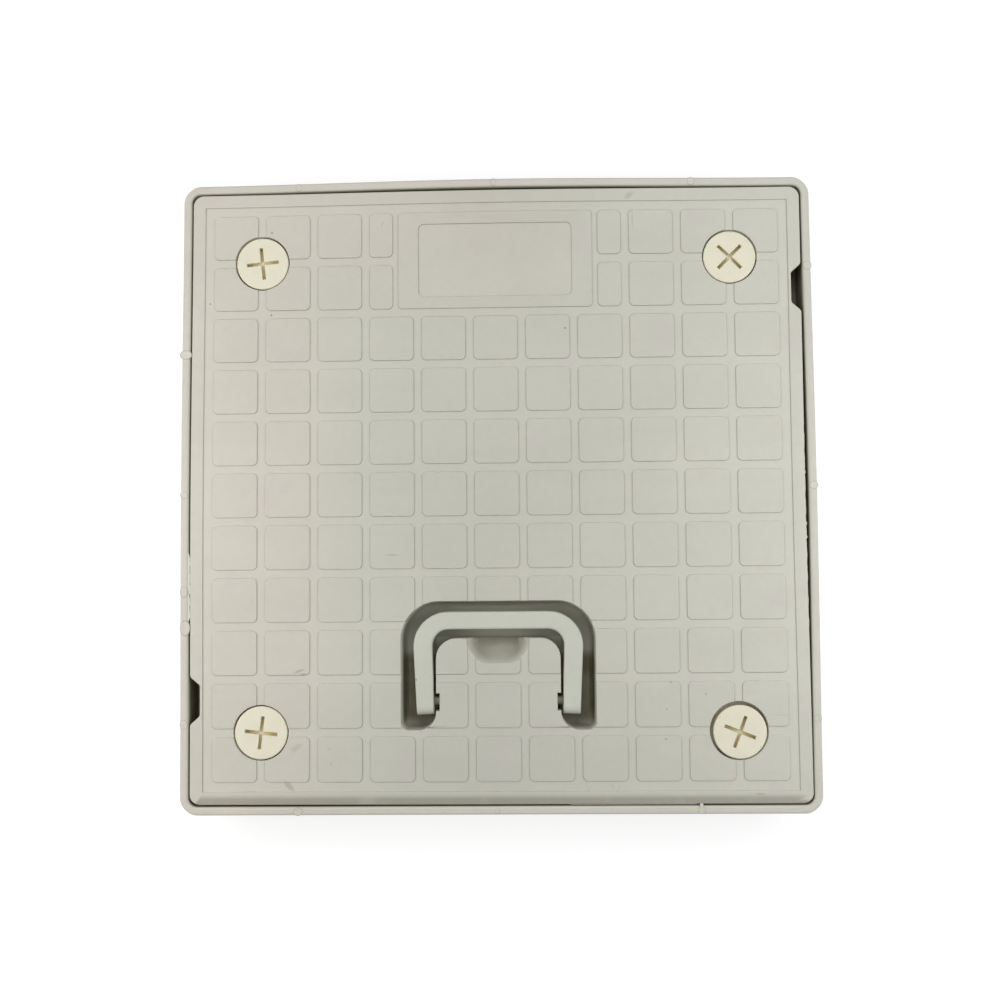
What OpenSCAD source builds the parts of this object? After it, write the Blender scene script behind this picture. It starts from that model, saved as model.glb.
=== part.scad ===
// Square moulded plastic inspection cover: a frame, a drop-in lid held by four
// cross-slot screws, and a bail handle that lies in a well in the lid.
// Millimetres, Z up, origin at the centre of the frame's base.
// Seen from above, +Y is the back edge and the handle is near the front edge.

/* [Frame] */
// Outside width of the square frame
frame_w = 400; // [392:1:420]
// Height of the frame
frame_h = 45; // [40:1:70]
// Outside radius of the frame's corners
frame_corner_r = 10.5; // [8:0.5:14]
// Thickness of the rim above the seat
rim_t = 4.6; // [3.5:0.1:6]
// Rounding of the rim's two top edges
rim_edge_r = 1.4; // [0.5:0.1:1.7]
// Thickness of the wall below the seat
foot_t = 3.4; // [2.5:0.1:5]
// How far the seat reaches in from the rim
seat_w = 23.4; // [20:0.2:26]
// Thickness of the seat
seat_t = 3; // [2:0.2:4]
// Depth of the lip that hangs from the seat's inner edge
lip_h = 8; // [4:0.5:12]
// Thickness of that lip
lip_t = 3; // [2:0.2:4]
// Gussets under each side of the seat
gusset_n = 9; // [5:2:11]
// Distance from one gusset to the next
gusset_pitch = 33; // [24:1:34]
// Thickness of a gusset
gusset_t = 2.4; // [1.6:0.2:4]
// Height of the gussets and bosses above the base
foot_clear = 4; // [2:0.5:6]

/* [Lid] */
// Gap all round between the lid and the rim
lid_gap = 1.3; // [0.6:0.1:2.5]
// Depth of the lid's top below the rim's top
lid_drop = 0.4; // [0:0.1:2]
// Height of the lid from its skirt's edge to its top
lid_h = 22; // [20:0.5:26]
// Outside radius of the lid's corners
lid_corner_r = 6.7; // [5:0.1:9]
// Thickness of the lid's plate
plate_t = 3.2; // [2.4:0.1:4.5]
// Thickness of the skirt round the lid's edge
skirt_t = 3; // [2:0.1:4]
// Width of the raised band round the lid's top
band_w = 8.2; // [7:0.1:9]
// Height of the band and the pads above the grooves
relief_h = 0.7; // [0.4:0.1:1.5]
// Thickness of the ribs under the lid
rib_t = 2; // [1.4:0.1:3]
// Gap from the ribs down to the level of the seat
rib_clear = 2.5; // [1:0.5:4]
// Gap between the lid's inner rib ring and the seat's inner edge, seen from above
ring_clear = 1.5; // [0.5:0.1:3]

/* [Pads] */
// Pads along each side of the lid
pad_n = 11; // [11:2:11]
// Width of a pad
pad_w = 28.2; // [24:0.1:30]
// Corner radius of a pad
pad_r = 3.2; // [1:0.1:5]
// Width of the narrow pads beside the label
narrow_w = 15; // [10:0.1:15.6]

/* [Label] */
// Gap between the label's edge and the narrow pads
label_gap = 3.4; // [2:0.1:6]
// Corner radius of the label's outer edge
label_r = 2.4; // [1:0.1:5]
// Width of the sunk panel inside the label
panel_w = 98; // [80:1:110]
// Height of the sunk panel, seen from above
panel_l = 46.2; // [30:0.2:54]
// Corner radius of the sunk panel
panel_r = 3.6; // [1:0.1:8]

/* [Pry notches] */
// Distance of a notch's middle from the nearest corner of the lid
notch_inset = 64.9; // [62.5:0.1:94]
// Width of a notch at the lid's edge
notch_mouth = 33; // [30:0.2:36]
// Width of a notch's flat end
notch_flat = 17; // [12:0.2:18]
// Depth of a notch
notch_d = 6.2; // [5:0.1:7]
// Rounding where a notch meets the lid's edge
notch_out_r = 3.4; // [2:0.1:3.6]
// Rounding at the ends of a notch's flat
notch_in_r = 2.4; // [1:0.1:3]

/* [Screws] */
// Distance of the screws from the lid's edges
screw_inset = 44.7; // [43:0.1:47]
// Diameter of a screw's head
head_d = 33.2; // [28:0.2:34]
// Thickness of a screw's head
head_h = 6; // [4:0.2:8]
// Rounding of the head's top edge
head_edge_r = 0.9; // [0.3:0.1:1.5]
// Depth of the heads below the lid's top
head_drop = 0.3; // [0:0.1:1]
// Gap round a head in its pocket
pocket_gap = 0.7; // [0.3:0.1:1.2]
// Wider gap round the head at the front right
loose_gap = 1.5; // [1.3:0.1:2]
// Sideways shift of the front right screw
loose_x = 0.8; // [-0.8:0.1:0.8]
// Front to back shift of the front right screw
loose_y = -0.9; // [-0.9:0.1:0.9]
// Diameter of the threaded shank over its crests
shank_d = 18; // [12:0.2:18]
// Length of the shank below the head
shank_l = 30; // [24:0.5:32]
// Chamfer at the shank's tip
tip_chamfer = 1.5; // [0.5:0.1:3]
// Gap between the shank and its boss
thread_gap = 0.08; // [0.05:0.01:0.2]
// Gap round the shank in the lid
hole_gap = 1.8; // [1.4:0.1:2.5]
// Wall of the bosses and of the sleeves round the shanks
boss_wall = 3.6; // [2.5:0.1:5]
// Wall of the pockets round the heads
pocket_wall = 2.4; // [1.6:0.1:4]
// Length of the cross slot
slot_l = 20.6; // [12:0.2:24]
// Width of the cross slot
slot_w = 2.1; // [1.4:0.1:3]
// Depth of the cross slot at its ends
slot_end_d = 4; // [2.4:0.1:4]
// Depth of the cross slot at its middle
slot_mid_d = 1.8; // [1:0.1:2.4]
// Turn of the back left screw
turn_back_left = 6; // [-45:0.5:45]
// Turn of the back right screw
turn_back_right = 45; // [-45:0.5:45]
// Turn of the front left screw
turn_front_left = -6.5; // [-45:0.5:45]
// Turn of the front right screw
turn_front_right = -21.5; // [-45:0.5:45]

/* [Handle well] */
// Gap between the handle and each side of the well
well_side_gap = 7.8; // [5.6:0.1:10]
// Gap between the handle's bar and the well's back edge
well_back_gap = 6.6; // [4.5:0.1:8.5]
// Gap between the ends of the legs and the well's front edge
well_front_gap = 9.3; // [8:0.1:13]
// Space between the handle and the well's floor
well_floor_gap = 6.2; // [5.8:0.1:6.6]
// Radius of the well's two back corners
well_back_r = 24; // [18:0.5:26]
// Radius of the well's two front outer corners
well_front_r = 5; // [3:0.1:6]
// How far each wall leans in from top to floor
well_draft = 1; // [0.3:0.1:1.4]
// How far the island's walls lean out from top to floor
island_draft = 0.3; // [0.1:0.1:0.4]
// Bevel between the walls and the floor
floor_bevel = 2.5; // [1:0.1:3]
// Thickness of the well's walls and floor
well_wall = 2.5; // [1.8:0.1:2.5]
// Gap between the ends of the legs and the island inside the handle
island_gap = 0.77; // [0.6:0.01:3]
// Gap between the handle's bar and the island
island_back_gap = 5.6; // [4.4:0.1:8.4]
// Radius of the island's two back corners
island_r = 12.7; // [6:0.1:16]
// Radius where the island spreads out to the well's front edge
flare_r = 11.5; // [6:0.1:11.5]
// Width of the finger scoop
scoop_w = 39.4; // [30:0.2:44]
// How far the finger scoop reaches into the island
scoop_l = 15.6; // [12:0.1:19]
// Radius of the finger scoop's two corners
scoop_r = 14.5; // [9:0.1:15.4]
// Depth of the finger scoop
scoop_d = 12; // [9:0.5:14]
// How far the scoop's walls lean in from the top down to their bevel
scoop_lean = 4; // [1:0.5:4.5]
// Bevel between the scoop's walls and its floor
scoop_bevel = 3.5; // [1:0.5:4]
// Width of each rest that the handle's bar lies on
rest_w = 3; // [2:0.1:5]
// Distance of each rest from the handle's side
rest_inset = 26.4; // [24.4:0.5:29.4]

/* [Handle] */
// Width over the handle's two legs at the bar
handle_w = 106.8; // [104:0.2:110]
// Length of the handle from the back of its bar to the ends of its legs
handle_l = 64.5; // [62:0.1:66]
// Distance of the ends of the legs from the lid's front edge
handle_inset = 55.1; // [51:0.1:57]
// Width of the handle's bar
bar_w = 11.1; // [9:0.1:11.8]
// Width of the legs below their corners
leg_w = 11.9; // [9:0.1:12.2]
// Width of the legs at their ends
leg_end_w = 11.4; // [9:0.1:12]
// Thickness of the bar and legs
bar_t = 11.5; // [9:0.1:11.6]
// Rounding of the bar's long edges
bar_edge_r = 1.6; // [0.5:0.1:3]
// Outside radius of the handle's corners
handle_corner_r = 22; // [16:0.5:26]
// Angle by which each leg leans inwards
leg_toe = 2.4; // [1:0.1:2.4]
// Depth of the handle's top below the lid's top
handle_drop = 0.3; // [0:0.1:1]
// Gap between the bar and its rests
rest_gap = 0.2; // [0.1:0.1:0.5]
// Distance of the pivot line from the ends of the legs
pivot_inset = 8.7; // [8:0.1:10]
// Diameter of the pivot pins
pin_d = 6.2; // [4:0.1:7]
// Length of a pin inside its leg
pin_l = 8.4; // [7:0.1:11]
// Running gap round a pin
pin_gap = 0.07; // [0.03:0.01:0.1]
// Space past the tip of a pin
pin_end_gap = 0.8; // [0.3:0.1:1.5]
// Depth of the open notch over a pin in the island's side
eye_d = 2.2; // [1:0.1:3]
// Space behind a pin in its notch
eye_back = 1.7; // [0.5:0.1:2]
// Space in front of a pin in its notch
eye_front = 2.8; // [0.5:0.1:3]
// Solid plastic round a pin's blind hole
eye_wall = 3; // [2:0.1:3.5]

/* [Hidden] */
$fn = 48;
// Overlap that joins two shapes, and overshoot of a cut past a surface
bite = 0.4;
past = 1;

// Heights
seat_z = frame_h - lid_drop - lid_h;
lid_top = frame_h - lid_drop;
groove_z = lid_top - relief_h;
plate_z = groove_z - plate_t;
rib_z = seat_z + rib_clear;
well_d = handle_drop + bar_t + well_floor_gap;
well_z = lid_top - well_d;
head_z = lid_top - head_drop - head_h;
pocket_floor_z = head_z - plate_t;
handle_z = lid_top - handle_drop - bar_t / 2;

// Plan sizes
rim_in = frame_w / 2 - rim_t;
foot_in = frame_w / 2 - foot_t;
seat_in = rim_in - seat_w;
lid_w = 2 * (rim_in - lid_gap);
field_w = lid_w - 2 * band_w;
ring_half = seat_in - ring_clear;
pad_half = (pad_n - 1) / 2;
screw_at = lid_w / 2 - screw_inset;
notch_y = lid_w / 2 - notch_inset;
// The screws stand where the grooves beside the outer pads cross
pad_pitch = screw_at / (pad_half - 0.5);

// Label, over the middle five columns and the two back rows
label_cols = 2;
label_rows = 2;
narrow_edge = label_cols * pad_pitch + pad_w / 2 - narrow_w;
label_half_w = narrow_edge - label_gap;
label_l = (label_rows - 1) * pad_pitch + pad_w;
label_y = (pad_half - (label_rows - 1) / 2) * pad_pitch;

// Centre line of the handle, and the steps of its sweep. All distances from
// the lid's middle are forward.
handle_front = lid_w / 2 - handle_inset;
handle_back = handle_front - handle_l;
pivot_y = handle_front - pivot_inset;
bend_r = handle_corner_r - leg_w / 2;
bend = [handle_w / 2 - handle_corner_r, -handle_back - bar_w / 2 - bend_r];
leg_l = (handle_front + bend.y - bend_r * sin(leg_toe)) / cos(leg_toe);
// Half the space between the ends of the legs, and between the tips of the pins
leg_in = bend.x + (bend_r - leg_end_w / 2) * cos(leg_toe) - leg_l * sin(leg_toe);
pin_tip = leg_in - pin_l;
edge_steps = 5;
end_steps = 8;
bend_steps = 12;

// Plan of the well, which goes round the handle
well_w = handle_w + 2 * well_side_gap;
well_back = handle_back - well_back_gap;
well_front = handle_front + well_front_gap;
well_l = well_front - well_back;
well_mid = (well_front + well_back) / 2;
island_w = 2 * (leg_in - island_gap);
island_back = handle_back + bar_w + island_back_gap;
scoop_front = island_back + scoop_l;
rest_x = handle_w / 2 - rest_inset;

// Round parts at the screws
head_r = head_d / 2;
boss_r = shank_d / 2 + boss_wall;
sleeve_r = shank_d / 2 + hole_gap + boss_wall;

// Rectangle with round corners, centred
module rounded(w, l, r) {
    square([w - 2 * r, l], center = true);
    square([w, l - 2 * r], center = true);
    for (sx = [-1, 1], sy = [-1, 1])
        translate([sx * (w / 2 - r), sy * (l / 2 - r)])
            circle(r);
}

// Flat ring between two rounded squares, from height z upwards
module ring(outer_w, outer_r, inner_w, inner_r, z, h) {
    translate([0, 0, z])
        linear_extrude(h)
            difference() {
                rounded(outer_w, outer_w, outer_r);
                rounded(inner_w, inner_w, inner_r);
            }
}

// Block whose four walls lean in by lean over depth d below z = 0, and go on above it
// by rise. Its back corners have radius back_r and its front corners front_r.
module drafted(w, l, back_r, front_r, d, lean, rise) {
    top = lean * rise / d;
    spread = 2 * (abs(lean) + abs(top));
    difference() {
        intersection() {
            rotate([90, 0, 0])
                linear_extrude(l + spread, center = true)
                    leaning(w / 2, d, lean, rise, top);
            rotate([90, 0, 90])
                linear_extrude(w + spread, center = true)
                    leaning(l / 2, d, lean, rise, top);
        }
        for (side = [-1, 1]) {
            if (back_r > 0)
                translate([side * (w / 2 - back_r), l / 2 - back_r, 0])
                    outer_corner(side, 1, back_r, d, lean, rise, top);
            if (front_r > 0)
                translate([side * (w / 2 - front_r), front_r - l / 2, 0])
                    outer_corner(side, -1, front_r, d, lean, rise, top);
        }
    }
}

// Drafted block whose walls run into its floor by a bevel, d deep in all
module tub(w, l, back_r, front_r, d, lean, bevel, rise) {
    drafted(w, l, back_r, front_r, d - bevel, lean, rise);
    translate([0, 0, bevel - d])
        drafted(w - 2 * lean, l - 2 * lean, max(back_r - lean, 0), front_r - lean, bevel, bevel, 0);
}

// Section of a leaning wall pair
module leaning(half, d, lean, rise, top) {
    polygon([
        [-half - top, rise], [half + top, rise],
        [half - lean, -d], [lean - half, -d],
    ]);
}

// What lies outside a leaning round corner, from the corner's axis outwards
module outer_corner(sx, sy, r, d, lean, rise, top) {
    reach = r + abs(lean) + abs(top) + past;
    difference() {
        translate([sx > 0 ? 0 : -reach, sy > 0 ? 0 : -reach, -d - past])
            cube([reach, reach, d + rise + 2 * past]);
        translate([0, 0, -d])
            cylinder(h = d + rise, r1 = r - lean, r2 = r + top);
        translate([0, 0, -d - 2 * past])
            cylinder(h = 2 * past, r = r - lean);
        translate([0, 0, rise])
            cylinder(h = 2 * past, r = r + top);
    }
}

// Frame

// Section of the wall, with the outer face at x = 0 and the rim's two edges rounded
module wall_section() {
    translate([-foot_t, 0])
        square([foot_t, seat_z + bite]);
    translate([-rim_t, seat_z - seat_t])
        square([rim_t, frame_h - rim_edge_r - seat_z + seat_t]);
    translate([rim_edge_r - rim_t, frame_h - rim_edge_r - bite])
        square([rim_t - 2 * rim_edge_r, rim_edge_r + bite]);
    for (x = [-rim_edge_r, rim_edge_r - rim_t])
        translate([x, frame_h - rim_edge_r])
            circle(rim_edge_r);
}

// The wall section carried round the square: four straight sides and four corners
module wall() {
    corner_at = frame_w / 2 - frame_corner_r;
    for (turn = [0:90:270])
        rotate(turn) {
            translate([frame_w / 2, corner_at, 0])
                rotate([90, 0, 0])
                    linear_extrude(2 * corner_at)
                        wall_section();
            translate([corner_at, corner_at, 0])
                rotate_extrude(angle = 90)
                    translate([frame_corner_r, 0])
                        wall_section();
        }
}

// Seat that the lid's skirt stands on, with the lip that stiffens it
module seat() {
    inner_r = frame_corner_r;
    ring(2 * foot_in + bite, frame_corner_r - foot_t, 2 * seat_in, inner_r, seat_z - seat_t, seat_t);
    ring(2 * (seat_in + lip_t), inner_r + lip_t, 2 * seat_in, inner_r,
        seat_z - seat_t - lip_h, lip_h + bite);
}

// Upright web between the wall and the lip
module gusset() {
    low = seat_z - seat_t - lip_h;
    rotate([90, 0, 0])
        linear_extrude(gusset_t, center = true)
            polygon([
                [foot_in + bite, foot_clear], [foot_in + bite, seat_z - bite],
                [seat_in + lip_t - bite, seat_z - bite], [seat_in + lip_t - bite, low],
            ]);
}

// Boss at a corner, in the quarter x > 0, y > 0, with its centre moved by shift
module corner_boss(shift) {
    web_r = boss_r + boss_wall;
    x = screw_at + shift.x;
    y = screw_at + shift.y;
    translate([0, 0, seat_z - seat_t])
        linear_extrude(seat_t) {
            translate([x, y])
                circle(web_r);
            translate([x - web_r, y])
                square([seat_in + lip_t - x + web_r, seat_in + lip_t - y]);
            translate([x, y - web_r])
                square([seat_in + lip_t - x, seat_in + lip_t - y + web_r]);
        }
    translate([x, y, foot_clear])
        cylinder(h = seat_z - foot_clear, r = boss_r);
    translate([x, y - gusset_t / 2, foot_clear])
        cube([foot_in + bite - x, gusset_t, seat_z - seat_t - foot_clear + bite]);
    translate([x - gusset_t / 2, y, foot_clear])
        cube([gusset_t, foot_in + bite - y, seat_z - seat_t - foot_clear + bite]);
}

// The four corners as [sign of x, sign of y, shift of the screw]
CORNERS = [
    [-1, 1, [0, 0]], [1, 1, [0, 0]], [-1, -1, [0, 0]], [1, -1, [loose_x, loose_y]],
];

module frame() color("gainsboro") {
    difference() {
        union() {
            wall();
            seat();
            for (turn = [0:90:270], i = [0:gusset_n - 1])
                rotate(turn)
                    translate([0, (i - (gusset_n - 1) / 2) * gusset_pitch, 0])
                        gusset();
            for (c = CORNERS)
                in_quarter(c)
                    corner_boss([c[0] * c[2].x, c[1] * c[2].y]);
        }
        for (c = CORNERS)
            translate([c[0] * screw_at + c[2].x, c[1] * screw_at + c[2].y, foot_clear - past])
                cylinder(h = frame_h, r = shank_d / 2 + thread_gap);
    }
}

// Mirrors what was drawn in the quarter x > 0, y > 0 into another quarter
module in_quarter(c) {
    mirror([c[0] < 0 ? 1 : 0, 0, 0])
        mirror([0, c[1] < 0 ? 1 : 0, 0])
            children();
}

// Lid

// One raised pad in the lid's plan, at column i and row j from the middle
module pad(i, j) {
    beside_label = abs(i) == label_cols && j > pad_half - label_rows;
    w = beside_label ? narrow_w : pad_w;
    x = i * pad_pitch + (beside_label ? sign(i) * (pad_w - narrow_w) / 2 : 0);
    translate([x, j * pad_pitch])
        rounded(w, pad_w, pad_r);
}

// Raised field of the lid: band, pads and the frame of the bare label
module relief() {
    under_label = function(i, j) abs(i) < label_cols && j > pad_half - label_rows;
    translate([0, 0, groove_z - bite])
        linear_extrude(relief_h + bite) {
            difference() {
                rounded(lid_w, lid_w, lid_corner_r);
                square(field_w, center = true);
            }
            translate([0, label_y])
                difference() {
                    rounded(2 * label_half_w, label_l, label_r);
                    rounded(panel_w, panel_l, panel_r);
                }
        }
    for (i = [-pad_half:pad_half], j = [-pad_half:pad_half])
        if (!under_label(i, j))
            translate([0, 0, groove_z - bite])
                linear_extrude(relief_h + bite)
                    pad(i, j);
}

// Grid of ribs under the plate, one below each groove, and the ring inside the seat
module ribs() {
    rib_h = plate_z - rib_z + bite;
    for (i = [0.5 - pad_half:pad_half - 0.5], turn = [0, 90])
        rotate(turn)
            translate([i * pad_pitch - rib_t / 2, skirt_t - lid_w / 2 - bite, rib_z])
                cube([rib_t, lid_w - 2 * skirt_t + 2 * bite, rib_h]);
    ring(2 * ring_half, lid_corner_r, 2 * (ring_half - rib_t), lid_corner_r - rib_t, rib_z, rib_h);
}

// Pocket for a head and sleeve for a shank, standing on the frame's boss
module sleeve(gap) {
    translate([0, 0, pocket_floor_z])
        cylinder(h = groove_z - pocket_floor_z - bite, r = head_r + gap + pocket_wall);
    translate([0, 0, seat_z])
        cylinder(h = plate_z - seat_z, r = sleeve_r);
}

module sleeve_cut(gap) {
    translate([0, 0, head_z])
        cylinder(h = head_h + head_drop + past, r = head_r + gap);
    translate([0, 0, seat_z - past])
        cylinder(h = lid_h, r = shank_d / 2 + hole_gap);
}

// Plan of a pry notch that opens towards +X, with its mouth on the line x = 0.
// Each shoulder is an outer arc, a straight slope and an inner arc, all tangent.
module notch_plan(mouth, flat, depth, out_r, in_r) {
    run = (mouth - flat) / 2;
    both = out_r + in_r;
    // Slope of the shoulder, from the tangent condition between the two arcs
    slope = 2 * atan((run - sqrt(run * run + depth * depth - 2 * both * depth)) / (2 * both - depth));
    arc = [for (k = [0:4]) slope * k / 4];
    shoulder = concat(
        [for (a = arc) [-out_r * (1 - cos(a)), mouth / 2 - out_r * sin(a)]],
        [for (k = [4:-1:0]) [in_r * (1 - cos(arc[k])) - depth, flat / 2 + in_r * sin(arc[k])]]
    );
    polygon(concat(
        [[past + lid_gap, mouth / 2]],
        shoulder,
        [for (k = [len(shoulder) - 1:-1:0]) [shoulder[k].x, -shoulder[k].y]],
        [[past + lid_gap, -mouth / 2]]
    ));
}

// Wall that goes round a notch
module notch_wall() {
    translate([lid_w / 2 - lid_gap - past, notch_y, seat_z])
        linear_extrude(groove_z - seat_z)
            notch_plan(notch_mouth + 2 * skirt_t, notch_flat + 2 * skirt_t,
                notch_d + skirt_t - lid_gap - past, notch_out_r, notch_in_r);
}

module notch_cut() {
    translate([lid_w / 2, notch_y, seat_z - past])
        linear_extrude(lid_h + 2 * past)
            notch_plan(notch_mouth, notch_flat, notch_d, notch_out_r, notch_in_r);
}

// Well

// Block with the well's outline, made wider all round by grow and deeper by more
module well_block(grow, more, rise) {
    translate([0, -well_mid, lid_top])
        tub(well_w + 2 * grow, well_l + 2 * grow, well_back_r + grow, well_front_r + grow,
            well_d + more, well_draft, floor_bevel, rise);
}

// Island that the handle goes round, down to depth d, made smaller all round by shrink
module island(shrink, d, rise) {
    front = well_front + well_wall + past;
    w = island_w - 2 * shrink;
    l = front - island_back - shrink;
    translate([0, -front + l / 2, lid_top])
        drafted(w, l, island_r - shrink, 0, d, -island_draft * d / well_d, rise);
}

// Curve by which the island's side runs out into the well's front edge
module flare(side, rise) {
    corner = [side * island_w / 2, -well_front];
    axis = [corner.x + side * flare_r, corner.y + flare_r];
    difference() {
        translate([side > 0 ? corner.x - past : axis.x, corner.y - past, well_z - past])
            cube([flare_r + past, flare_r + past, well_d + rise + past]);
        translate([axis.x, axis.y, well_z])
            cylinder(h = well_d, r1 = flare_r - island_draft, r2 = flare_r);
        translate([axis.x, axis.y, well_z - 2 * past])
            cylinder(h = 2 * past, r = flare_r - island_draft);
        translate([axis.x, axis.y, lid_top])
            cylinder(h = rise + past, r = flare_r);
    }
}

// Bowl for the fingers, cut back into the island, made larger all round by grow
module scoop(grow, rise) {
    back = island_back - island_r - grow;
    l = scoop_front + grow - back;
    translate([0, -back - l / 2, lid_top])
        tub(scoop_w + 2 * grow, l, 0, scoop_r + grow, scoop_d + grow, scoop_lean, scoop_bevel, rise);
}

module well_cut() {
    difference() {
        well_block(0, 0, past);
        island(0, well_d + past, 3 * past);
        for (side = [-1, 1])
            flare(side, 3 * past);
    }
    intersection() {
        well_block(0, 0, past);
        scoop(0, past);
    }
}

// Space round a pivot pin: an open notch in the island's side, then a blind hole
module pivot_cut(side) {
    r = pin_d / 2 + pin_gap;
    notch_x = island_w / 2 - eye_d;
    width = pin_d + eye_back + eye_front;
    hole_end = pin_tip - pin_end_gap;
    translate([side > 0 ? notch_x : -notch_x - eye_d - past, -pivot_y - pin_d / 2 - eye_front, well_z])
        cube([eye_d + past, width, well_d + past]);
    translate([side * (hole_end + notch_x + past) / 2, -pivot_y, handle_z])
        rotate([0, 90, 0])
            cylinder(h = notch_x + past - hole_end, r = r, center = true);
}

// Solid plastic behind the island's side that the blind hole is made in
module pivot_block(side) {
    near = island_w / 2 - bite;
    far = pin_tip - pin_end_gap - eye_wall;
    tall = pin_d + 2 * eye_wall;
    translate([side > 0 ? far : -near, -pivot_y - tall / 2, handle_z - tall / 2])
        cube([near - far, tall, plate_z + bite - handle_z + tall / 2]);
}

// Rest on the well's floor for the handle's bar
module rest(side) {
    l = bar_w - 2 * bar_edge_r;
    translate([side * rest_x - rest_w / 2, -handle_back - bar_w / 2 - l / 2, well_z - bite])
        cube([rest_w, l, handle_z - bar_t / 2 - rest_gap - well_z + bite]);
}

module lid() color("gainsboro") {
    difference() {
        union() {
            translate([0, 0, plate_z])
                linear_extrude(plate_t)
                    rounded(lid_w, lid_w, lid_corner_r);
            ring(lid_w, lid_corner_r, lid_w - 2 * skirt_t, lid_corner_r - skirt_t,
                seat_z, plate_z - seat_z + bite);
            relief();
            ribs();
            for (c = CORNERS)
                translate([c[0] * screw_at, c[1] * screw_at, 0])
                    sleeve(pocket_gap_at(c));
            notch_wall();
            rotate(180)
                notch_wall();
            difference() {
                intersection() {
                    well_block(well_wall, well_wall, 0);
                    translate([-lid_w / 2, -lid_w / 2, 0])
                        cube([lid_w, lid_w, plate_z + bite]);
                }
                // The island is hollow below its plate, but for the bowl's own wall
                difference() {
                    intersection() {
                        island(well_wall, well_d + well_wall + past, 0);
                        translate([-lid_w / 2, -lid_w / 2, -past])
                            cube([lid_w, lid_w, plate_z + past]);
                    }
                    scoop(well_wall, 0);
                }
            }
            for (side = [-1, 1])
                pivot_block(side);
        }
        well_cut();
        for (side = [-1, 1])
            pivot_cut(side);
        for (c = CORNERS)
            translate([c[0] * screw_at, c[1] * screw_at, 0])
                sleeve_cut(pocket_gap_at(c));
        notch_cut();
        rotate(180)
            notch_cut();
    }
    for (side = [-1, 1])
        rest(side);
}

// The pocket is wider where the screw has shifted
function pocket_gap_at(c) = norm(c[2]) > 0 ? loose_gap : pocket_gap;

// Handle

// The handle is one section carried along a centre line. Each ring of the sweep is
// [x, y, heading of the section's outer side, half width, half height].

// Ring at a distance s down the right leg from its corner
function leg_ring(s, half_w, half_h) = [
    bend.x + bend_r * cos(leg_toe) - s * sin(leg_toe),
    bend.y - bend_r * sin(leg_toe) - s * cos(leg_toe),
    -leg_toe, half_w, half_h,
];

// Ring in the right corner, at heading a
function bend_ring(a, half_w) = [
    bend.x + bend_r * cos(a), bend.y + bend_r * sin(a), a, half_w, bar_t / 2,
];

// The same ring on the other side of the handle
function mirrored(ring) = [-ring[0], ring[1], 180 - ring[2], ring[3], ring[4]];

// Corner k of the section's outline, counted round its four rounded corners
function section_point(k, half_w, half_h) =
    let (
        r = min(bar_edge_r, half_h * 0.9),
        quarter = floor(k / edge_steps),
        a = 90 * (quarter + (k % edge_steps) / (edge_steps - 1)),
        side = quarter == 0 || quarter == 3 ? 1 : -1,
        level = quarter < 2 ? 1 : -1
    )
    [side * (half_w - r) + r * cos(a), level * (half_h - r) + r * sin(a)];

// Points of one ring in space
function ring_points(ring) = [
    for (k = [0:4 * edge_steps - 1])
        let (p = section_point(k, ring[3], ring[4]))
        [ring[0] + p.x * cos(ring[2]), ring[1] + p.x * sin(ring[2]), p.y]
];

// Half height of a leg at the half-round end, for an angle a round that end
function end_ring(a) =
    let (r = bar_t / 2)
    leg_ring(leg_l - r * (1 - cos(a)), leg_end_w / 2, r * sin(a));

// Skin over a list of rings, closed at both ends
module swept(rings) {
    n = 4 * edge_steps;
    last = len(rings) - 1;
    polyhedron(
        points = [for (ring = rings) each ring_points(ring)],
        faces = concat(
            [[for (k = [n - 1:-1:0]) k]],
            [for (i = [0:last - 1], k = [0:n - 1])
                let (a = i * n + k, b = i * n + (k + 1) % n)
                each [[a, b, a + n], [b, b + n, a + n]]],
            [[for (k = [0:n - 1]) last * n + k]]
        )
    );
}

// Bar, corners and legs in one sweep
module bail() {
    right = concat(
        [for (k = [1:end_steps]) end_ring(90 * k / end_steps)],
        [leg_ring(0, leg_w / 2, bar_t / 2)],
        [for (k = [1:bend_steps])
            let (part = k / bend_steps)
            bend_ring(part * 90 - (1 - part) * leg_toe, (leg_w + part * (bar_w - leg_w)) / 2)]
    );
    swept(concat(right, [for (k = [len(right) - 1:-1:0]) mirrored(right[k])]));
}

module handle() color("gainsboro")
    translate([0, 0, handle_z]) {
        bail();
        // Two pivot pins, one on the inside of each leg
        for (side = [-1, 1])
            translate([side * (pin_tip + handle_w / 2 - leg_w / 2) / 2, -pivot_y, 0])
                rotate([0, 90, 0])
                    cylinder(h = handle_w / 2 - leg_w / 2 - pin_tip, d = pin_d, center = true);
    }

// Screws

// Head, shank and chamfered tip on the Z axis, with z = 0 under the head
module screw_body() {
    tip_r = shank_d / 2 - tip_chamfer;
    rotate_extrude() {
        square([head_r - head_edge_r, head_h]);
        square([head_r, head_h - head_edge_r]);
        translate([head_r - head_edge_r, head_h - head_edge_r])
            circle(head_edge_r);
    }
    translate([0, 0, tip_chamfer - shank_l])
        cylinder(h = shank_l - tip_chamfer + bite, d = shank_d);
    translate([0, 0, -shank_l])
        cylinder(h = tip_chamfer, r1 = tip_r, r2 = shank_d / 2);
}

// One arm pair of the cross slot, shallower at the middle than at the ends
module slot() {
    rotate([90, 0, 0])
        linear_extrude(slot_w, center = true)
            polygon([
                [-slot_l / 2, past], [slot_l / 2, past], [slot_l / 2, -slot_end_d],
                [0, -slot_mid_d], [-slot_l / 2, -slot_end_d],
            ]);
}

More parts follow.
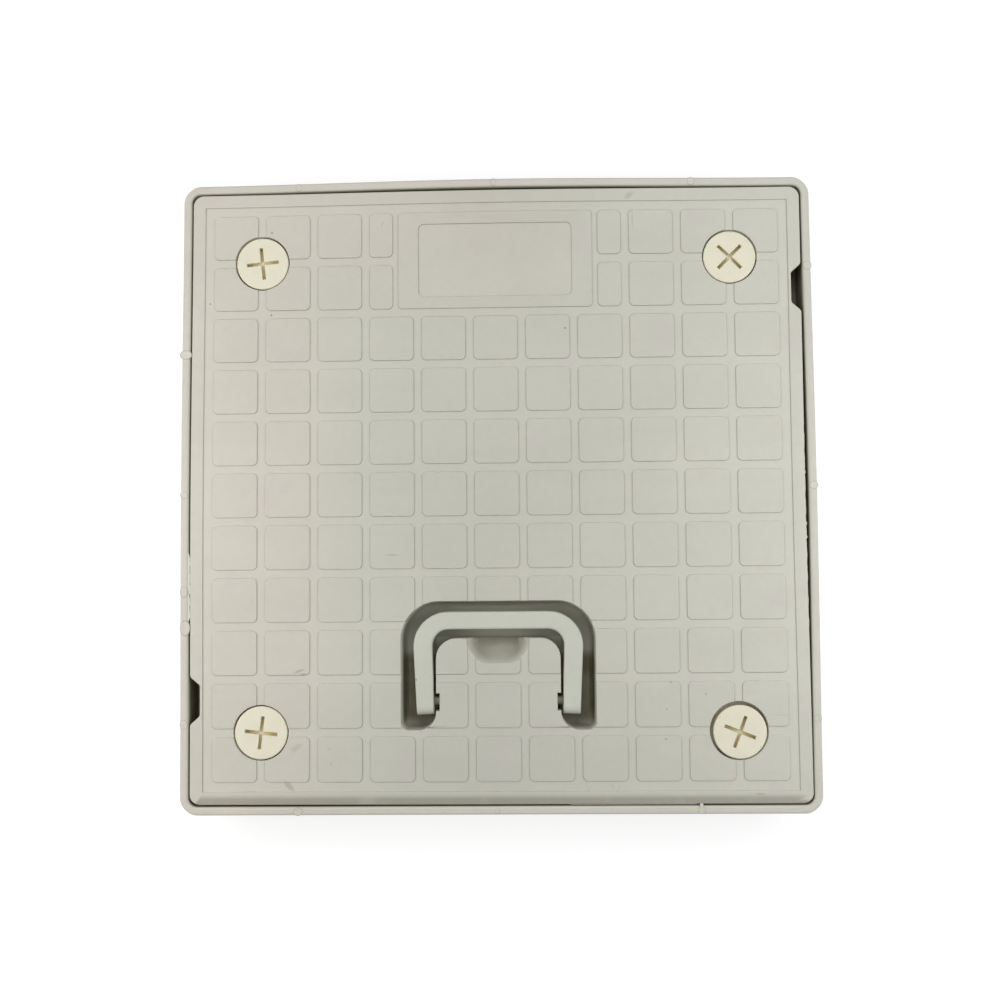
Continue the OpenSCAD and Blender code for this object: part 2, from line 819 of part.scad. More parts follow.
// Screw in corner c, turned by the given angle
module screw(c, turn) color("cornsilk")
    translate([c[0] * screw_at + c[2].x, c[1] * screw_at + c[2].y, head_z])
        rotate(turn)
            difference() {
                screw_body();
                translate([0, 0, head_h])
                    for (arm = [0, 90])
                        rotate(arm)
                            slot();
            }

module screw_back_left() screw(CORNERS[0], turn_back_left);
module screw_back_right() screw(CORNERS[1], turn_back_right);
module screw_front_left() screw(CORNERS[2], turn_front_left);
module screw_front_right() screw(CORNERS[3], turn_front_right);

frame();
lid();
handle();
screw_back_left();
screw_back_right();
screw_front_left();
screw_front_right();
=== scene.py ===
"""Looks of a square moulded plastic inspection cover.

A frame, a drop-in lid with raised pads, four cross-slot screws and a bail handle in a well.
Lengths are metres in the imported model's own frame: +Z up, +Y towards the back edge.
"""

import logging
import math
from collections.abc import Callable, Iterable, Sequence
from dataclasses import dataclass, field, replace
from enum import Enum
from functools import cached_property

import bmesh
import bpy
import numpy as np
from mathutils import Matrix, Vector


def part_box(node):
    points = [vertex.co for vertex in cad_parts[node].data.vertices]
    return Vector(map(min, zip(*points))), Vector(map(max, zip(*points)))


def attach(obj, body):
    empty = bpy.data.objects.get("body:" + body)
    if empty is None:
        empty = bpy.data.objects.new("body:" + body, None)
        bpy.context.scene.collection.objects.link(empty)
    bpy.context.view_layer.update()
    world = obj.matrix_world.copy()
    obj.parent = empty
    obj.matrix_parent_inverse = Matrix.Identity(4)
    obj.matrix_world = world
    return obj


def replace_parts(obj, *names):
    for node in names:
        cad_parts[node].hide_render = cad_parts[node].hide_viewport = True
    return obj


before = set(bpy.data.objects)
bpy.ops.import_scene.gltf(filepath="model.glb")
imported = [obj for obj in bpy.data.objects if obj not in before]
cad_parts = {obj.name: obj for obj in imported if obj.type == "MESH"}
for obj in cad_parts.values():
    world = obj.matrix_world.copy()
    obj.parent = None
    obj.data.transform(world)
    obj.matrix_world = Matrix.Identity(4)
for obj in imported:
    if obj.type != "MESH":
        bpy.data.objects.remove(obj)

MM = 0.001
TURN = 2 * math.pi
SCAR = "scar"
NOISE_RANGE = (0.3, 0.7)
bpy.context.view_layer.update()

SCREWS = tuple(sorted(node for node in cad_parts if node.startswith("screw_")))

log = logging.getLogger("inspection_cover")

Colour = tuple[float, float, float]
Point = tuple[float, float, float]
Value = float | Sequence[float] | bpy.types.NodeSocket


class Body(Enum):
    """The bodies that a piece can ride on."""

    COVER = "cover"
    BAIL = "bail"


class Slot(Enum):
    """The record's material slots."""

    COVER_PLASTIC = "cover_plastic"
    SCREW_PLASTIC = "screw_plastic"


class Side(Enum):
    """The frame's four sides, as the quarter turns that bring the +X side onto each."""

    RIGHT = 0
    BACK = 1
    LEFT = 2
    FRONT = 3

    @property
    def out(self) -> np.ndarray:
        """The direction outwards across the side."""
        angle = self.value * TURN / 4
        return np.array([math.cos(angle), math.sin(angle)])

    @property
    def along(self) -> np.ndarray:
        """The direction along the side, a quarter turn on from outwards."""
        angle = (self.value + 1) * TURN / 4
        return np.array([math.cos(angle), math.sin(angle)])


def rgb(red: int, green: int, blue: int) -> Colour:
    """Turns a colour written in 0 to 255 display steps into linear light.

    Args:
        red: Red step.
        green: Green step.
        blue: Blue step.

    Returns:
        The three linear values.
    """
    steps = np.array([red, green, blue]) / 255
    linear = np.where(steps <= 0.04045, steps / 12.92, ((steps + 0.055) / 1.055) ** 2.4)
    return tuple(float(v) for v in linear)


# Meshes


def grid_faces(rows: int, columns: int, closed_rows: bool, closed_columns: bool) -> np.ndarray:
    """Works out the quads of a grid of points, with no loop over the points.

    Args:
        rows: Number of rows of points.
        columns: Number of points in a row.
        closed_rows: True if the last row joins the first.
        closed_columns: True if the last point of a row joins its first.

    Returns:
        One row of four point numbers for each quad.
    """
    number = np.arange(rows * columns).reshape(rows, columns)
    if closed_rows:
        number = np.vstack([number, number[:1]])
    if closed_columns:
        number = np.hstack([number, number[:, :1]])
    corners = [number[:-1, :-1], number[:-1, 1:], number[1:, 1:], number[1:, :-1]]
    return np.stack([c.ravel() for c in corners], axis=1)


def surface(name: str, *grids: np.ndarray) -> bpy.types.Mesh:
    """Makes a mesh of closed skins, with their poles merged and their faces outwards.

    Args:
        name: Name of the mesh.
        grids: For each skin, an array of rows by columns by three, whose rows are closed
            loops and whose first and last rows shrink to a point or a line.

    Returns:
        The mesh.
    """
    starts = np.cumsum([0] + [grid.shape[0] * grid.shape[1] for grid in grids])
    faces = [
        grid_faces(grid.shape[0], grid.shape[1], False, True) + start
        for grid, start in zip(grids, starts)
    ]
    points = np.concatenate([grid.reshape(-1, 3) for grid in grids])
    mesh = bpy.data.meshes.new(name)
    mesh.from_pydata(points.tolist(), [], np.concatenate(faces).tolist())
    work = bmesh.new()
    work.from_mesh(mesh)
    bmesh.ops.remove_doubles(work, verts=work.verts, dist=1e-7)
    bmesh.ops.recalc_face_normals(work, faces=work.faces)
    work.to_mesh(mesh)
    work.free()
    return mesh


def merged_copy(node: str, flat_within: float = 0.5) -> bmesh.types.BMesh:
    """Copies a node's loose triangles, merges them and joins the flat ones into whole faces.

    Args:
        node: Name of the node.
        flat_within: Largest angle in degrees between triangles that count as one flat face.

    Returns:
        The copy, for the caller to change and free.
    """
    work = bmesh.new()
    work.from_mesh(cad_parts[node].data)
    bmesh.ops.remove_doubles(work, verts=work.verts, dist=2e-6)
    bmesh.ops.dissolve_limit(
        work, angle_limit=math.radians(flat_within), verts=work.verts, edges=work.edges
    )
    return work


def soften(work: bmesh.types.BMesh, wanted: Callable[[bmesh.types.BMEdge], bool], width: float,
           segments: int = 2) -> int:
    """Rounds the sharp edges that a test picks.

    Args:
        work: The mesh to change.
        wanted: Says of a sharp edge whether it is rounded.
        width: Width of the rounding.
        segments: Faces across the rounding.

    Returns:
        The number of edges rounded.
    """
    sharp_from = math.radians(30)
    edges = [
        e for e in work.edges
        if e.is_manifold and e.calc_face_angle(0) > sharp_from and wanted(e)
    ]
    bmesh.ops.bevel(
        work, geom=edges, offset=width, offset_type="OFFSET", segments=segments, profile=0.5,
        affect="EDGES", clamp_overlap=False, loop_slide=True, miter_outer="SHARP",
    )
    return len(edges)


def cut_across(work: bmesh.types.BMesh, axis: int, places: Iterable[float],
               where: Callable[[bmesh.types.BMFace], bool] | None = None) -> None:
    """Cuts a mesh with planes, so that its long faces can bend.

    Args:
        work: The mesh to change.
        axis: 0 for planes across X, and 1 for planes across Y.
        places: Where each plane stands on that axis.
        where: Says of a face whether it is cut. All are, without it.
    """
    normal = tuple(float(k == axis) for k in range(3))
    faces = [f for f in work.faces if where is None or where(f)]
    # Dicts, unlike sets, keep the order in which the points and edges are found.
    points = dict.fromkeys(v for f in faces for v in f.verts)
    edges = dict.fromkeys(e for f in faces for e in f.edges)
    geom = [*points, *edges, *faces]
    for place in places:
        geom = bmesh.ops.bisect_plane(
            work, geom=geom, dist=1e-7, plane_co=tuple(place * n for n in normal), plane_no=normal,
        )["geom"]


def moved(work: bmesh.types.BMesh, name: str,
          rule: Callable[[np.ndarray], np.ndarray] | None = None) -> bpy.types.Mesh:
    """Turns a working mesh into a finished one, with its points moved by a rule.

    Args:
        work: The working mesh, which is freed.
        name: Name of the mesh.
        rule: Takes all points as an array and returns them moved.

    Returns:
        The mesh.
    """
    mesh = bpy.data.meshes.new(name)
    work.to_mesh(mesh)
    work.free()
    if rule is not None:
        points = np.empty(len(mesh.vertices) * 3, np.float32)
        mesh.vertices.foreach_get("co", points)
        mesh.vertices.foreach_set("co", rule(points.reshape(-1, 3)).astype(np.float32).ravel())
        mesh.update()
    return mesh


@dataclass(frozen=True)
class Drift:
    """How far one side of a moulding has moved outwards off its true line.

    Attributes:
        shift: Move of the whole side, in millimetres.
        tilt: Extra move of one end, with the other end as far inwards.
        bow: Extra move of the middle.
    """

    shift: float = 0.0
    tilt: float = 0.0
    bow: float = 0.0

    def at(self, share: np.ndarray) -> np.ndarray:
        """Gives the move in metres at a share from -1 to 1 along the side.

        It is a straight line plus the square of a cosine, which is nothing at both ends.

        Args:
            share: Places along the side.

        Returns:
            The move at each place.
        """
        return (self.shift + self.tilt * share + self.bow * np.cos(share * TURN / 4) ** 2) * MM


def drifted(points: np.ndarray, half: float, fade: tuple[float, float],
            drifts: dict[Side, Drift]) -> np.ndarray:
    """Moves the points of a square moulding by the drift of each of its sides.

    A point moves straight outwards: by the whole drift near the side's face, and by a share
    that falls evenly to nothing further in.

    Args:
        points: All points, one row each.
        half: Half the moulding's width.
        fade: How far inside the face the share starts to fall, and where it is nothing.
        drifts: The drift of each side.

    Returns:
        The points moved.
    """
    made = points.copy()
    start, end = fade
    for side, drift in drifts.items():
        inside = half - points[:, :2] @ side.out
        near = np.clip((end - inside) / (end - start), 0, 1)
        share = np.clip(points[:, :2] @ side.along / half, -1, 1)
        made[:, :2] += (near * drift.at(share))[:, None] * side.out
    return made


def piece(mesh: bpy.types.Mesh, material: bpy.types.Material, body: Body,
          smooth_below: float = 30) -> bpy.types.Object:
    """Puts a mesh into the scene as a piece with its material and body.

    Args:
        mesh: The finished mesh, in place.
        material: The material of all its faces.
        body: The body that the piece rides on.
        smooth_below: Edges flatter than this many degrees are shaded smooth.

    Returns:
        The piece.
    """
    made = bpy.data.objects.new(mesh.name, mesh)
    bpy.context.scene.collection.objects.link(made)
    mesh.materials.clear()
    mesh.materials.append(material)
    mesh.shade_smooth()
    mesh.set_sharp_from_angle(angle=math.radians(smooth_below))
    weighted = made.modifiers.new("even_shading", "WEIGHTED_NORMAL")
    weighted.keep_sharp = True
    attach(made, body.value)
    log.info(
        "%s: %d points, %d faces, on %s", mesh.name, len(mesh.vertices), len(mesh.polygons), body.value
    )
    return made


# Finishes


class ShaderTree:
    """Adds and joins the nodes of one material."""

    def __init__(self, name: str) -> None:
        """Starts an empty material.

        Args:
            name: Name of the material.
        """
        self.material = bpy.data.materials.new(name)
        self.material.use_nodes = True
        self.tree = self.material.node_tree
        self.tree.nodes.clear()
        coordinates = self.add("ShaderNodeTexCoord").outputs
        self.place, self.normal = coordinates["Object"], coordinates["Normal"]

    @cached_property
    def ragged(self) -> bpy.types.NodeSocket:
        """A fine noise that breaks up the edges of all marks."""
        return self.noise(700.0, 2.0)

    def add(self, kind: str, inputs: dict[str | int, Value] | None = None,
            **settings: object) -> bpy.types.Node:
        """Adds a node.

        Args:
            kind: Type of the node.
            inputs: For each input's name or number, its value or the socket joined to it.
            settings: The node's own settings.

        Returns:
            The node.
        """
        node = self.tree.nodes.new(kind)
        for key, value in settings.items():
            setattr(node, key, value)
        for key, value in (inputs or {}).items():
            if isinstance(value, bpy.types.NodeSocket):
                self.tree.links.new(value, node.inputs[key])
            else:
                node.inputs[key].default_value = value
        return node

    def math(self, operation: str, first: Value, second: Value = 0.0) -> bpy.types.NodeSocket:
        """Joins two numbers by one operation and returns the result."""
        return self.add("ShaderNodeMath", {0: first, 1: second}, operation=operation).outputs[0]

    def stretched(self, scale: Point, turn: float = 0.0,
                  centre: Point = (0.0, 0.0, 0.0)) -> bpy.types.NodeSocket:
        """Gives Object coordinates stretched and turned about a centre.

        Args:
            scale: Factor on each axis.
            turn: Turn about Z in radians.
            centre: The point that becomes the origin.

        Returns:
            The coordinates.
        """
        shifted = self.add("ShaderNodeVectorMath", {0: self.place, 1: centre}, operation="SUBTRACT")
        turned = self.add(
            "ShaderNodeMapping", {"Vector": shifted.outputs[0], "Rotation": (0.0, 0.0, turn)}
        )
        return self.add(
            "ShaderNodeVectorMath", {0: turned.outputs[0], 1: scale}, operation="MULTIPLY"
        ).outputs[0]

    def noise(self, scale: float, detail: float = 3.0, where: bpy.types.NodeSocket | None = None,
              roughness: float = 0.5) -> bpy.types.NodeSocket:
        """Gives a cloudy pattern from 0 to 1, with scale patches to the metre."""
        inputs = {"Vector": where or self.place, "Scale": scale, "Detail": detail, "Roughness": roughness}
        return self.add("ShaderNodeTexNoise", inputs).outputs["Fac"]

    def between(self, value: Value, low: float, high: float, start: float = 0.0,
                end: float = 1.0) -> bpy.types.NodeSocket:
        """Maps low to high smoothly onto start to end, and holds it outside them."""
        inputs = {"Value": value, "From Min": low, "From Max": high, "To Min": start, "To Max": end}
        return self.add("ShaderNodeMapRange", inputs, interpolation_type="SMOOTHSTEP").outputs["Result"]

    def spread(self, pattern: Value, low: float, high: float) -> bpy.types.NodeSocket:
        """Maps the range in which nearly all of a noise lies onto low to high."""
        return self.between(pattern, *NOISE_RANGE, low, high)

    def mix(self, share: Value, under: Value, over: Value) -> bpy.types.NodeSocket:
        """Lays one colour over another by a share."""
        def full(colour: Value) -> Value:
            return (*colour, 1.0) if isinstance(colour, tuple) and len(colour) == 3 else colour
        node = self.add("ShaderNodeMix", {0: share, 6: full(under), 7: full(over)}, data_type="RGBA")
        return node.outputs[2]

    def times(self, colour: Value, factor: Value) -> bpy.types.NodeSocket:
        """Multiplies a colour by a grey factor."""
        colour = (*colour, 1.0) if isinstance(colour, tuple) else colour
        grey = self.add("ShaderNodeCombineXYZ", {0: factor, 1: factor, 2: factor}).outputs[0]
        return self.add(
            "ShaderNodeMix", {0: 1.0, 6: colour, 7: grey}, data_type="RGBA", blend_type="MULTIPLY"
        ).outputs[2]

    def tinted(self, share: Value, colour: Value, tint: Colour) -> bpy.types.NodeSocket:
        """Multiplies a colour by a tint, by a share."""
        inputs = {0: share, 6: colour, 7: (*tint, 1.0)}
        return self.add("ShaderNodeMix", inputs, data_type="RGBA", blend_type="MULTIPLY").outputs[2]

    def axis(self, name: str) -> bpy.types.NodeSocket:
        """Gives one Object coordinate, X, Y or Z."""
        return self.add("ShaderNodeSeparateXYZ", {0: self.place}).outputs[name]

    def bump(self, height: Value, depth: float,
             under: bpy.types.NodeSocket | None = None) -> bpy.types.NodeSocket:
        """Tilts the surface by a height pattern that is depth metres deep."""
        inputs = {"Height": height, "Distance": depth, "Strength": 1.0}
        if under is not None:
            inputs["Normal"] = under
        return self.add("ShaderNodeBump", inputs).outputs[0]

    def grained(self, waves: tuple[float, float], grain: tuple[float, float]) -> bpy.types.NodeSocket:
        """Tilts the surface by two noises, each given by its scale and its depth in metres."""
        normal = self.bump(self.noise(waves[0], 2.0), waves[1])
        return self.bump(self.noise(grain[0], 2.0), grain[1], normal)

    def finish(self, **sockets: Value) -> bpy.types.Material:
        """Closes the material with a plastic shader.

        Args:
            sockets: The shader's inputs by name, with _ for a space.

        Returns:
            The material.
        """
        inputs = {key.replace("_", " "): value for key, value in sockets.items()}
        shader = self.add("ShaderNodeBsdfPrincipled", inputs)
        self.add("ShaderNodeOutputMaterial", {"Surface": shader.outputs[0]})
        return self.material


@dataclass(frozen=True)
class Mark:
    """A small stain, speck or scratch at a place on the top face.

    Attributes:
        x: Place to the right of the middle, in millimetres.
        y: Place behind the middle, in millimetres.
        long: Length of the mark in millimetres.
        wide: Width of the mark in millimetres.
        turn: Turn of its length from the X axis, in degrees.
        colour: What it tints the plastic with.
        share: How strongly.
    """

    x: float
    y: float
    long: float
    wide: float
    turn: float
    colour: Colour
    share: float

    @classmethod
    def speck(cls, x: float, y: float, size: float = 1.3, share: float = 0.75) -> "Mark":
        """Makes a small round dark speck."""
        return cls(x, y, size, size, 0.0, rgb(112, 105, 88), share)

    @classmethod
    def scratch(cls, x: float, y: float, long: float, turn: float, share: float = 0.5) -> "Mark":
        """Makes a thin dark scratch."""
        return cls(x, y, long, 0.7, turn, rgb(128, 122, 104), share)

    @classmethod
    def scuff(cls, x: float, y: float, long: float, wide: float, turn: float,
              share: float = 0.4) -> "Mark":
        """Makes a slightly pink rubbed place."""
        return cls(x, y, long, wide, turn, rgb(212, 190, 178), share)

    def laid_on(self, tree: ShaderTree, colour: Value) -> bpy.types.NodeSocket:
        """Lays the mark on a colour, as an ellipse whose edge is broken up by noise.

        Args:
            tree: The material's tree.
            colour: The colour under the mark.

        Returns:
            The colour with the mark.
        """
        scale = (2 / (self.long * MM), 2 / (self.wide * MM), 0.0)
        where = tree.stretched(scale, -math.radians(self.turn), (self.x * MM, self.y * MM, 0.0))
        reach = tree.add("ShaderNodeVectorMath", {0: where}, operation="LENGTH").outputs["Value"]
        ragged = tree.math("ADD", reach, tree.ragged)
        return tree.mix(tree.between(ragged, 1.0, 1.7, self.share, 0.0), colour, self.colour)


@dataclass(frozen=True)
class Recess:
    """A place darkened by painted shade and soil, seen from above.

    Attributes:
        x: Place of its middle to the right, in millimetres.
        y: Place of its middle behind the cover's middle.
        half_x: Half its width.
        half_y: Half its length.
        rounded: True for an ellipse, and False for a box.
        outside: True if all but this place is the recess.
        strength: How strongly painted shade and soil darken it, from 0 to 1.
        soft: Over what share of its half size its edge fades out.
        full_z: Height at which it has its full strength, in millimetres. Without it, the
            plastic's own height counts.
        corner: By how much the corners of a square are cut off, in millimetres.
    """

    x: float
    y: float
    half_x: float
    half_y: float
    rounded: bool = False
    outside: bool = False
    strength: float = 1.0
    soft: float = 0.004
    full_z: float | None = None
    corner: float = 0.0

    def share(self, tree: ShaderTree) -> bpy.types.NodeSocket:
        """Gives the recess's strength in it and 0 elsewhere.

        Args:
            tree: The material's tree.

        Returns:
            The share.
        """
        scale = (1 / (self.half_x * MM), 1 / (self.half_y * MM), 0.0)
        where = tree.stretched(scale, 0.0, (self.x * MM, self.y * MM, 0.0))
        if self.rounded:
            reach = tree.add("ShaderNodeVectorMath", {0: where}, operation="LENGTH").outputs["Value"]
        else:
            size = tree.add("ShaderNodeVectorMath", {0: where}, operation="ABSOLUTE").outputs[0]
            parts = tree.add("ShaderNodeSeparateXYZ", {0: size}).outputs
            reach = tree.math("MAXIMUM", parts["X"], parts["Y"])
            if self.corner:
                both = tree.math("ADD", parts["X"], parts["Y"])
                past = tree.math("ADD", both, self.corner / self.half_x - 1)
                reach = tree.math("MAXIMUM", reach, past)
        inner, outer = (0.0, self.strength) if self.outside else (self.strength, 0.0)
        return tree.between(reach, 1.0, 1.0 + self.soft, inner, outer)

    @classmethod
    def between(cls, left: float, right: float, front: float, back: float,
                **settings: bool | float) -> "Recess":
        """Makes the recess between four straight sides.

        Args:
            left: Place of the left side, in millimetres.
            right: Place of the right side.
            front: Place of the front side.
            back: Place of the back side.
            settings: The recess's other fields.

        Returns:
            The recess.
        """
        middle = (left + right) / 2, (front + back) / 2
        return cls(*middle, (right - left) / 2, (back - front) / 2, **settings)

    @classmethod
    def round_box(cls, node: str, margin: float, **settings: bool | float) -> "Recess":
        """Makes the recess of a node's box with a margin, in millimetres, all round."""
        low, high = (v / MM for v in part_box(node))
        return cls.between(low.x - margin, high.x + margin, low.y - margin, high.y + margin, **settings)


@dataclass(frozen=True)
class Relief:
    """How the grooves' colour and a painted shade line at the foot of each raised edge colour a raised
    pattern.

    Attributes:
        groove: Colour of the grooves between the raised faces.
        crease_shade: Colour of the painted shade line at the foot of the raised edges.
        share: How strongly the painted shade line shows on an edge that faces sideways.
        front_share: How strongly on an edge that faces the front.
        back_share: How strongly on an edge that faces the back.
        low_z: Height of the grooves' floor, in millimetres.
        high_z: Height of the raised faces.
        fade: How far below the raised faces the grooves' colour ends and the plain one is
            whole, as shares of the rise.
        turn: The normal's Y at which an edge starts to count as a front or back one, and at
            which it does so fully.
        foot: Heights above the grooves' floor at which the painted shade line sets in and is
        whole, in millimetres.
        crown: How far below the raised faces the painted shade line ends, in millimetres.
    """

    groove: Colour
    crease_shade: Colour
    share: float
    front_share: float
    back_share: float
    low_z: float
    high_z: float
    fade: tuple[float, float] = (0.4, 0.1)
    turn: tuple[float, float] = (0.1, 0.6)
    foot: tuple[float, float] = (0.01, 0.07)
    crown: float = 0.05

    def laid_on(self, tree: ShaderTree, height: bpy.types.NodeSocket,
                plain: Colour) -> bpy.types.NodeSocket:
        """Colours the grooves, and paints a shade line at the foot of each raised edge, strongest where
        the edge faces the front.

        Args:
            tree: The material's tree.
            height: The height above the base.
            plain: Colour of the raised faces.

        Returns:
            The colour.
        """
        rise = self.high_z - self.low_z
        starts, whole = ((self.high_z - share * rise) * MM for share in self.fade)
        raised = tree.between(height, starts, whole)
        colour = tree.mix(raised, self.groove, plain)
        # Painted shade: the line is strongest on edges that face the front and weakest on those that face
        # the back.
        facing = tree.add("ShaderNodeSeparateXYZ", {0: tree.normal}).outputs["Y"]
        little, much = self.turn
        share = tree.math(
            "MULTIPLY", tree.between(facing, -much, -little, self.front_share / self.share, 1.0),
            tree.between(facing, little, much, self.share, self.back_share),
        )
        above = tree.between(height, *((self.low_z + up) * MM for up in self.foot))
        half_way = self.low_z + 0.5 * rise
        below = tree.between(height, half_way * MM, (self.high_z - self.crown) * MM, 1, 0)
        foot = tree.math("MULTIPLY", above, below)
        return tree.mix(tree.math("MULTIPLY", foot, share), colour, self.crease_shade)


@dataclass(frozen=True)
class CoverPlastic:
    """Pale warm grey moulded plastic with a fine satin grain.

    Attributes:
        name: Name of the material.
        plain: Colour of its top faces.
        deep: Colour of recesses: painted shade, with some soil.
        shade_top_z: Height in a recess above which there is no painted shade or soil, in millimetres.
        deep_z: Height in a recess at which it has its deep colour.
        under_z: Height below which recesses don't count.
        roughness: Mean roughness.
        relief: Its raised pattern, if it has one.
        recesses: Where painted shade and soil darken it.
        marks: Stains, specks and scratches.
        middle_shade: By how much the middle is painted darker than the left and right edges, as shade.
        front_shade: By how much the front edge is painted darker than the rest, as shade.
        warmth: What the left edge and the back left corner are tinted with.
        warm_left: Where the left edge's tint starts to fade and where it ends, along X.
        warm_back: Where the back left corner's tint sets in and where it is whole, along Y.
        warm_reach: Where that tint starts to fade and where it ends, along X.
        middle_shade_x: How far from the middle the painted shade ends and the plastic has its full
            brightness.
        front_shade_y: Where the painted shade of the front edge starts to lift and where it ends.
        blotch: Colour of the dull pinkish blotches.
        scar_edge_shade: Colour of the painted shade line along the scars' raised edges.
        scar_pale: Colour of their bleached middles.
        scar_shares: How strongly the scars have those two colours.
        waves: Scale and depth of the long waves in the surface.
        grain: Scale and depth of its fine grain.
        swing: How far the roughness varies either way.
    """

    name: str
    plain: Colour
    deep: Colour
    shade_top_z: float
    deep_z: float
    under_z: float
    roughness: float
    relief: Relief | None = None
    recesses: tuple[Recess, ...] = ()
    marks: tuple[Mark, ...] = ()
    middle_shade: float = 0.0
    front_shade: float = 0.0
    warmth: Colour = (1.02, 0.99, 0.99)
    warm_left: tuple[float, float] = (-0.13, -0.08)
    warm_back: tuple[float, float] = (0.1, 0.16)
    warm_reach: tuple[float, float] = (0.0, 0.08)
    middle_shade_x: float = 0.19
    front_shade_y: tuple[float, float] = (-0.17, -0.1)
    blotch: Colour = rgb(200, 192, 186)
    scar_edge_shade: Colour = rgb(120, 116, 100)
    scar_pale: Colour = rgb(226, 224, 215)
    scar_shares: tuple[float, float] = (0.35, 0.8)
    waves: tuple[float, float] = (60.0, 0.12 * MM)
    grain: tuple[float, float] = (1500.0, 0.012 * MM)
    swing: float = 0.06

    def clouded(self, tree: ShaderTree, colour: Value) -> bpy.types.NodeSocket:
        """Varies a colour by soft clouds, long streaks, mottle, painted shade in the middle and at the
        front edge, and dull pinkish blotches.

        Args:
            tree: The material's tree.
            colour: The plain colour.

        Returns:
            The varied colour.
        """
        streaks = tree.noise(30.0, 3.0, tree.stretched((0.25, 1.6, 1.0)))
        tone = tree.math(
            "ADD", tree.spread(tree.noise(14.0, 4.0), 0.98, 1.02),
            tree.spread(streaks, -0.012, 0.012),
        )
        tone = tree.math("ADD", tone, tree.spread(tree.noise(220.0, 2.0), -0.01, 0.01))
        # Painted shade: the middle and the front edge are darkened, as where less light falls.
        if self.middle_shade:
            sideways = tree.math("ABSOLUTE", tree.axis("X"))
            middle_shade_factor = tree.between(sideways, 0.0, self.middle_shade_x, 1 - self.middle_shade, 1.0)
            tone = tree.math("MULTIPLY", tone, middle_shade_factor)
        if self.front_shade:
            front_shade_factor = tree.between(tree.axis("Y"), *self.front_shade_y, 1 - self.front_shade, 1.0)
            tone = tree.math("MULTIPLY", tone, front_shade_factor)
        colour = tree.times(colour, tone)
        across, along = tree.axis("X"), tree.axis("Y")
        left_part = tree.between(across, *self.warm_reach, 1.0, 0.0)
        back = tree.math("MULTIPLY", tree.between(along, *self.warm_back), left_part)
        warm = tree.math("MAXIMUM", tree.between(across, *self.warm_left, 1.0, 0.0), back)
        colour = tree.tinted(warm, colour, self.warmth)
        blotch = tree.between(tree.noise(38.0, 3.0, roughness=0.6), 0.56, 0.74, 0.0, 0.3)
        return tree.mix(blotch, colour, self.blotch)

    def scarred(self, tree: ShaderTree, colour: Value) -> bpy.types.NodeSocket:
        """Paints a shade line on a colour, or bleaches it, by the mesh's own scar value, above or below
        nothing.
        """
        scar = tree.add("ShaderNodeAttribute", attribute_name=SCAR).outputs["Fac"]
        dark, pale = self.scar_shares
        # Painted shade line at the scars' raised edges.
        colour = tree.mix(tree.between(scar, 0.0, 1.0, 0.0, dark), colour, self.scar_edge_shade)
        return tree.mix(tree.between(scar, -1.0, 0.0, pale, 0.0), colour, self.scar_pale)

    def material(self) -> bpy.types.Material:
        """Builds the material and returns it."""
        tree = ShaderTree(self.name)
        height = tree.axis("Z")
        plain = self.plain if self.relief is None else self.relief.laid_on(tree, height, self.plain)
        colour = self.clouded(tree, plain)
        for mark in self.marks:
            colour = mark.laid_on(tree, colour)
        # Painted shade with some soil: recesses take the deep colour towards their depth.
        shade_and_soil: Value = 0.0
        for recess in self.recesses:
            full_z = self.deep_z if recess.full_z is None else recess.full_z
            depth = tree.between(height, full_z * MM, self.shade_top_z * MM, 1.0, 0.0)
            shade_and_soil = tree.math("MAXIMUM", shade_and_soil, tree.math("MULTIPLY", recess.share(tree), depth))
        above = tree.between(height, (self.under_z - 1) * MM, self.under_z * MM)
        shade_and_soil = tree.math("MULTIPLY", shade_and_soil, above)
        patchy = tree.spread(tree.noise(70.0, 3.0), 0.82, 1.0)
        colour = tree.mix(tree.math("MULTIPLY", shade_and_soil, patchy), colour, self.deep)
        colour = self.scarred(tree, colour)
        normal = tree.grained(self.waves, self.grain)
        gloss = tree.spread(
            tree.noise(90.0, 3.0), self.roughness - self.swing, self.roughness + self.swing
        )
        return tree.finish(Base_Color=colour, Roughness=gloss, Normal=normal, Specular_IOR_Level=0.4)


@dataclass(frozen=True)
class ScrewPlastic:
    """Cream moulded plastic, smooth and a little translucent.

    Attributes:
        name: Name of the material.
        top: Colour of the head's top.
        slot: Colour down in the cross slot, painted shade that darkens it with depth.
        top_z: Height of the head's top, in millimetres.
        slot_z: Height at which the slot has its full colour, in millimetres.
        roughness: Mean roughness.
        waves: Scale and depth of the long waves in the surface.
        grain: Scale and depth of its fine grain.
        swing: How far the roughness varies either way.
    """

    name: str
    top: Colour
    slot: Colour
    top_z: float
    slot_z: float
    roughness: float
    waves: tuple[float, float] = (150.0, 0.05 * MM)
    grain: tuple[float, float] = (1800.0, 0.006 * MM)
    swing: float = 0.05

    def material(self) -> bpy.types.Material:
        """Builds the material and returns it."""
        tree = ShaderTree(self.name)
        height = tree.axis("Z")
        clouds = tree.noise(90.0, 3.0)
        mottle = tree.noise(500.0, 2.0)
        tone = tree.math(
            "ADD", tree.spread(clouds, 0.975, 1.015),
            tree.spread(mottle, -0.01, 0.01),
        )
        # Painted shade: the cross slot darkens with depth.
        colour = tree.mix(tree.between(height, self.top_z * MM, self.slot_z * MM), self.top, self.slot)
        colour = tree.times(colour, tone)
        normal = tree.grained(self.waves, self.grain)
        gloss = tree.spread(clouds, self.roughness - self.swing, self.roughness + self.swing)
        return tree.finish(Base_Color=colour, Roughness=gloss, Normal=normal, Specular_IOR_Level=0.45)


# Sub-assemblies


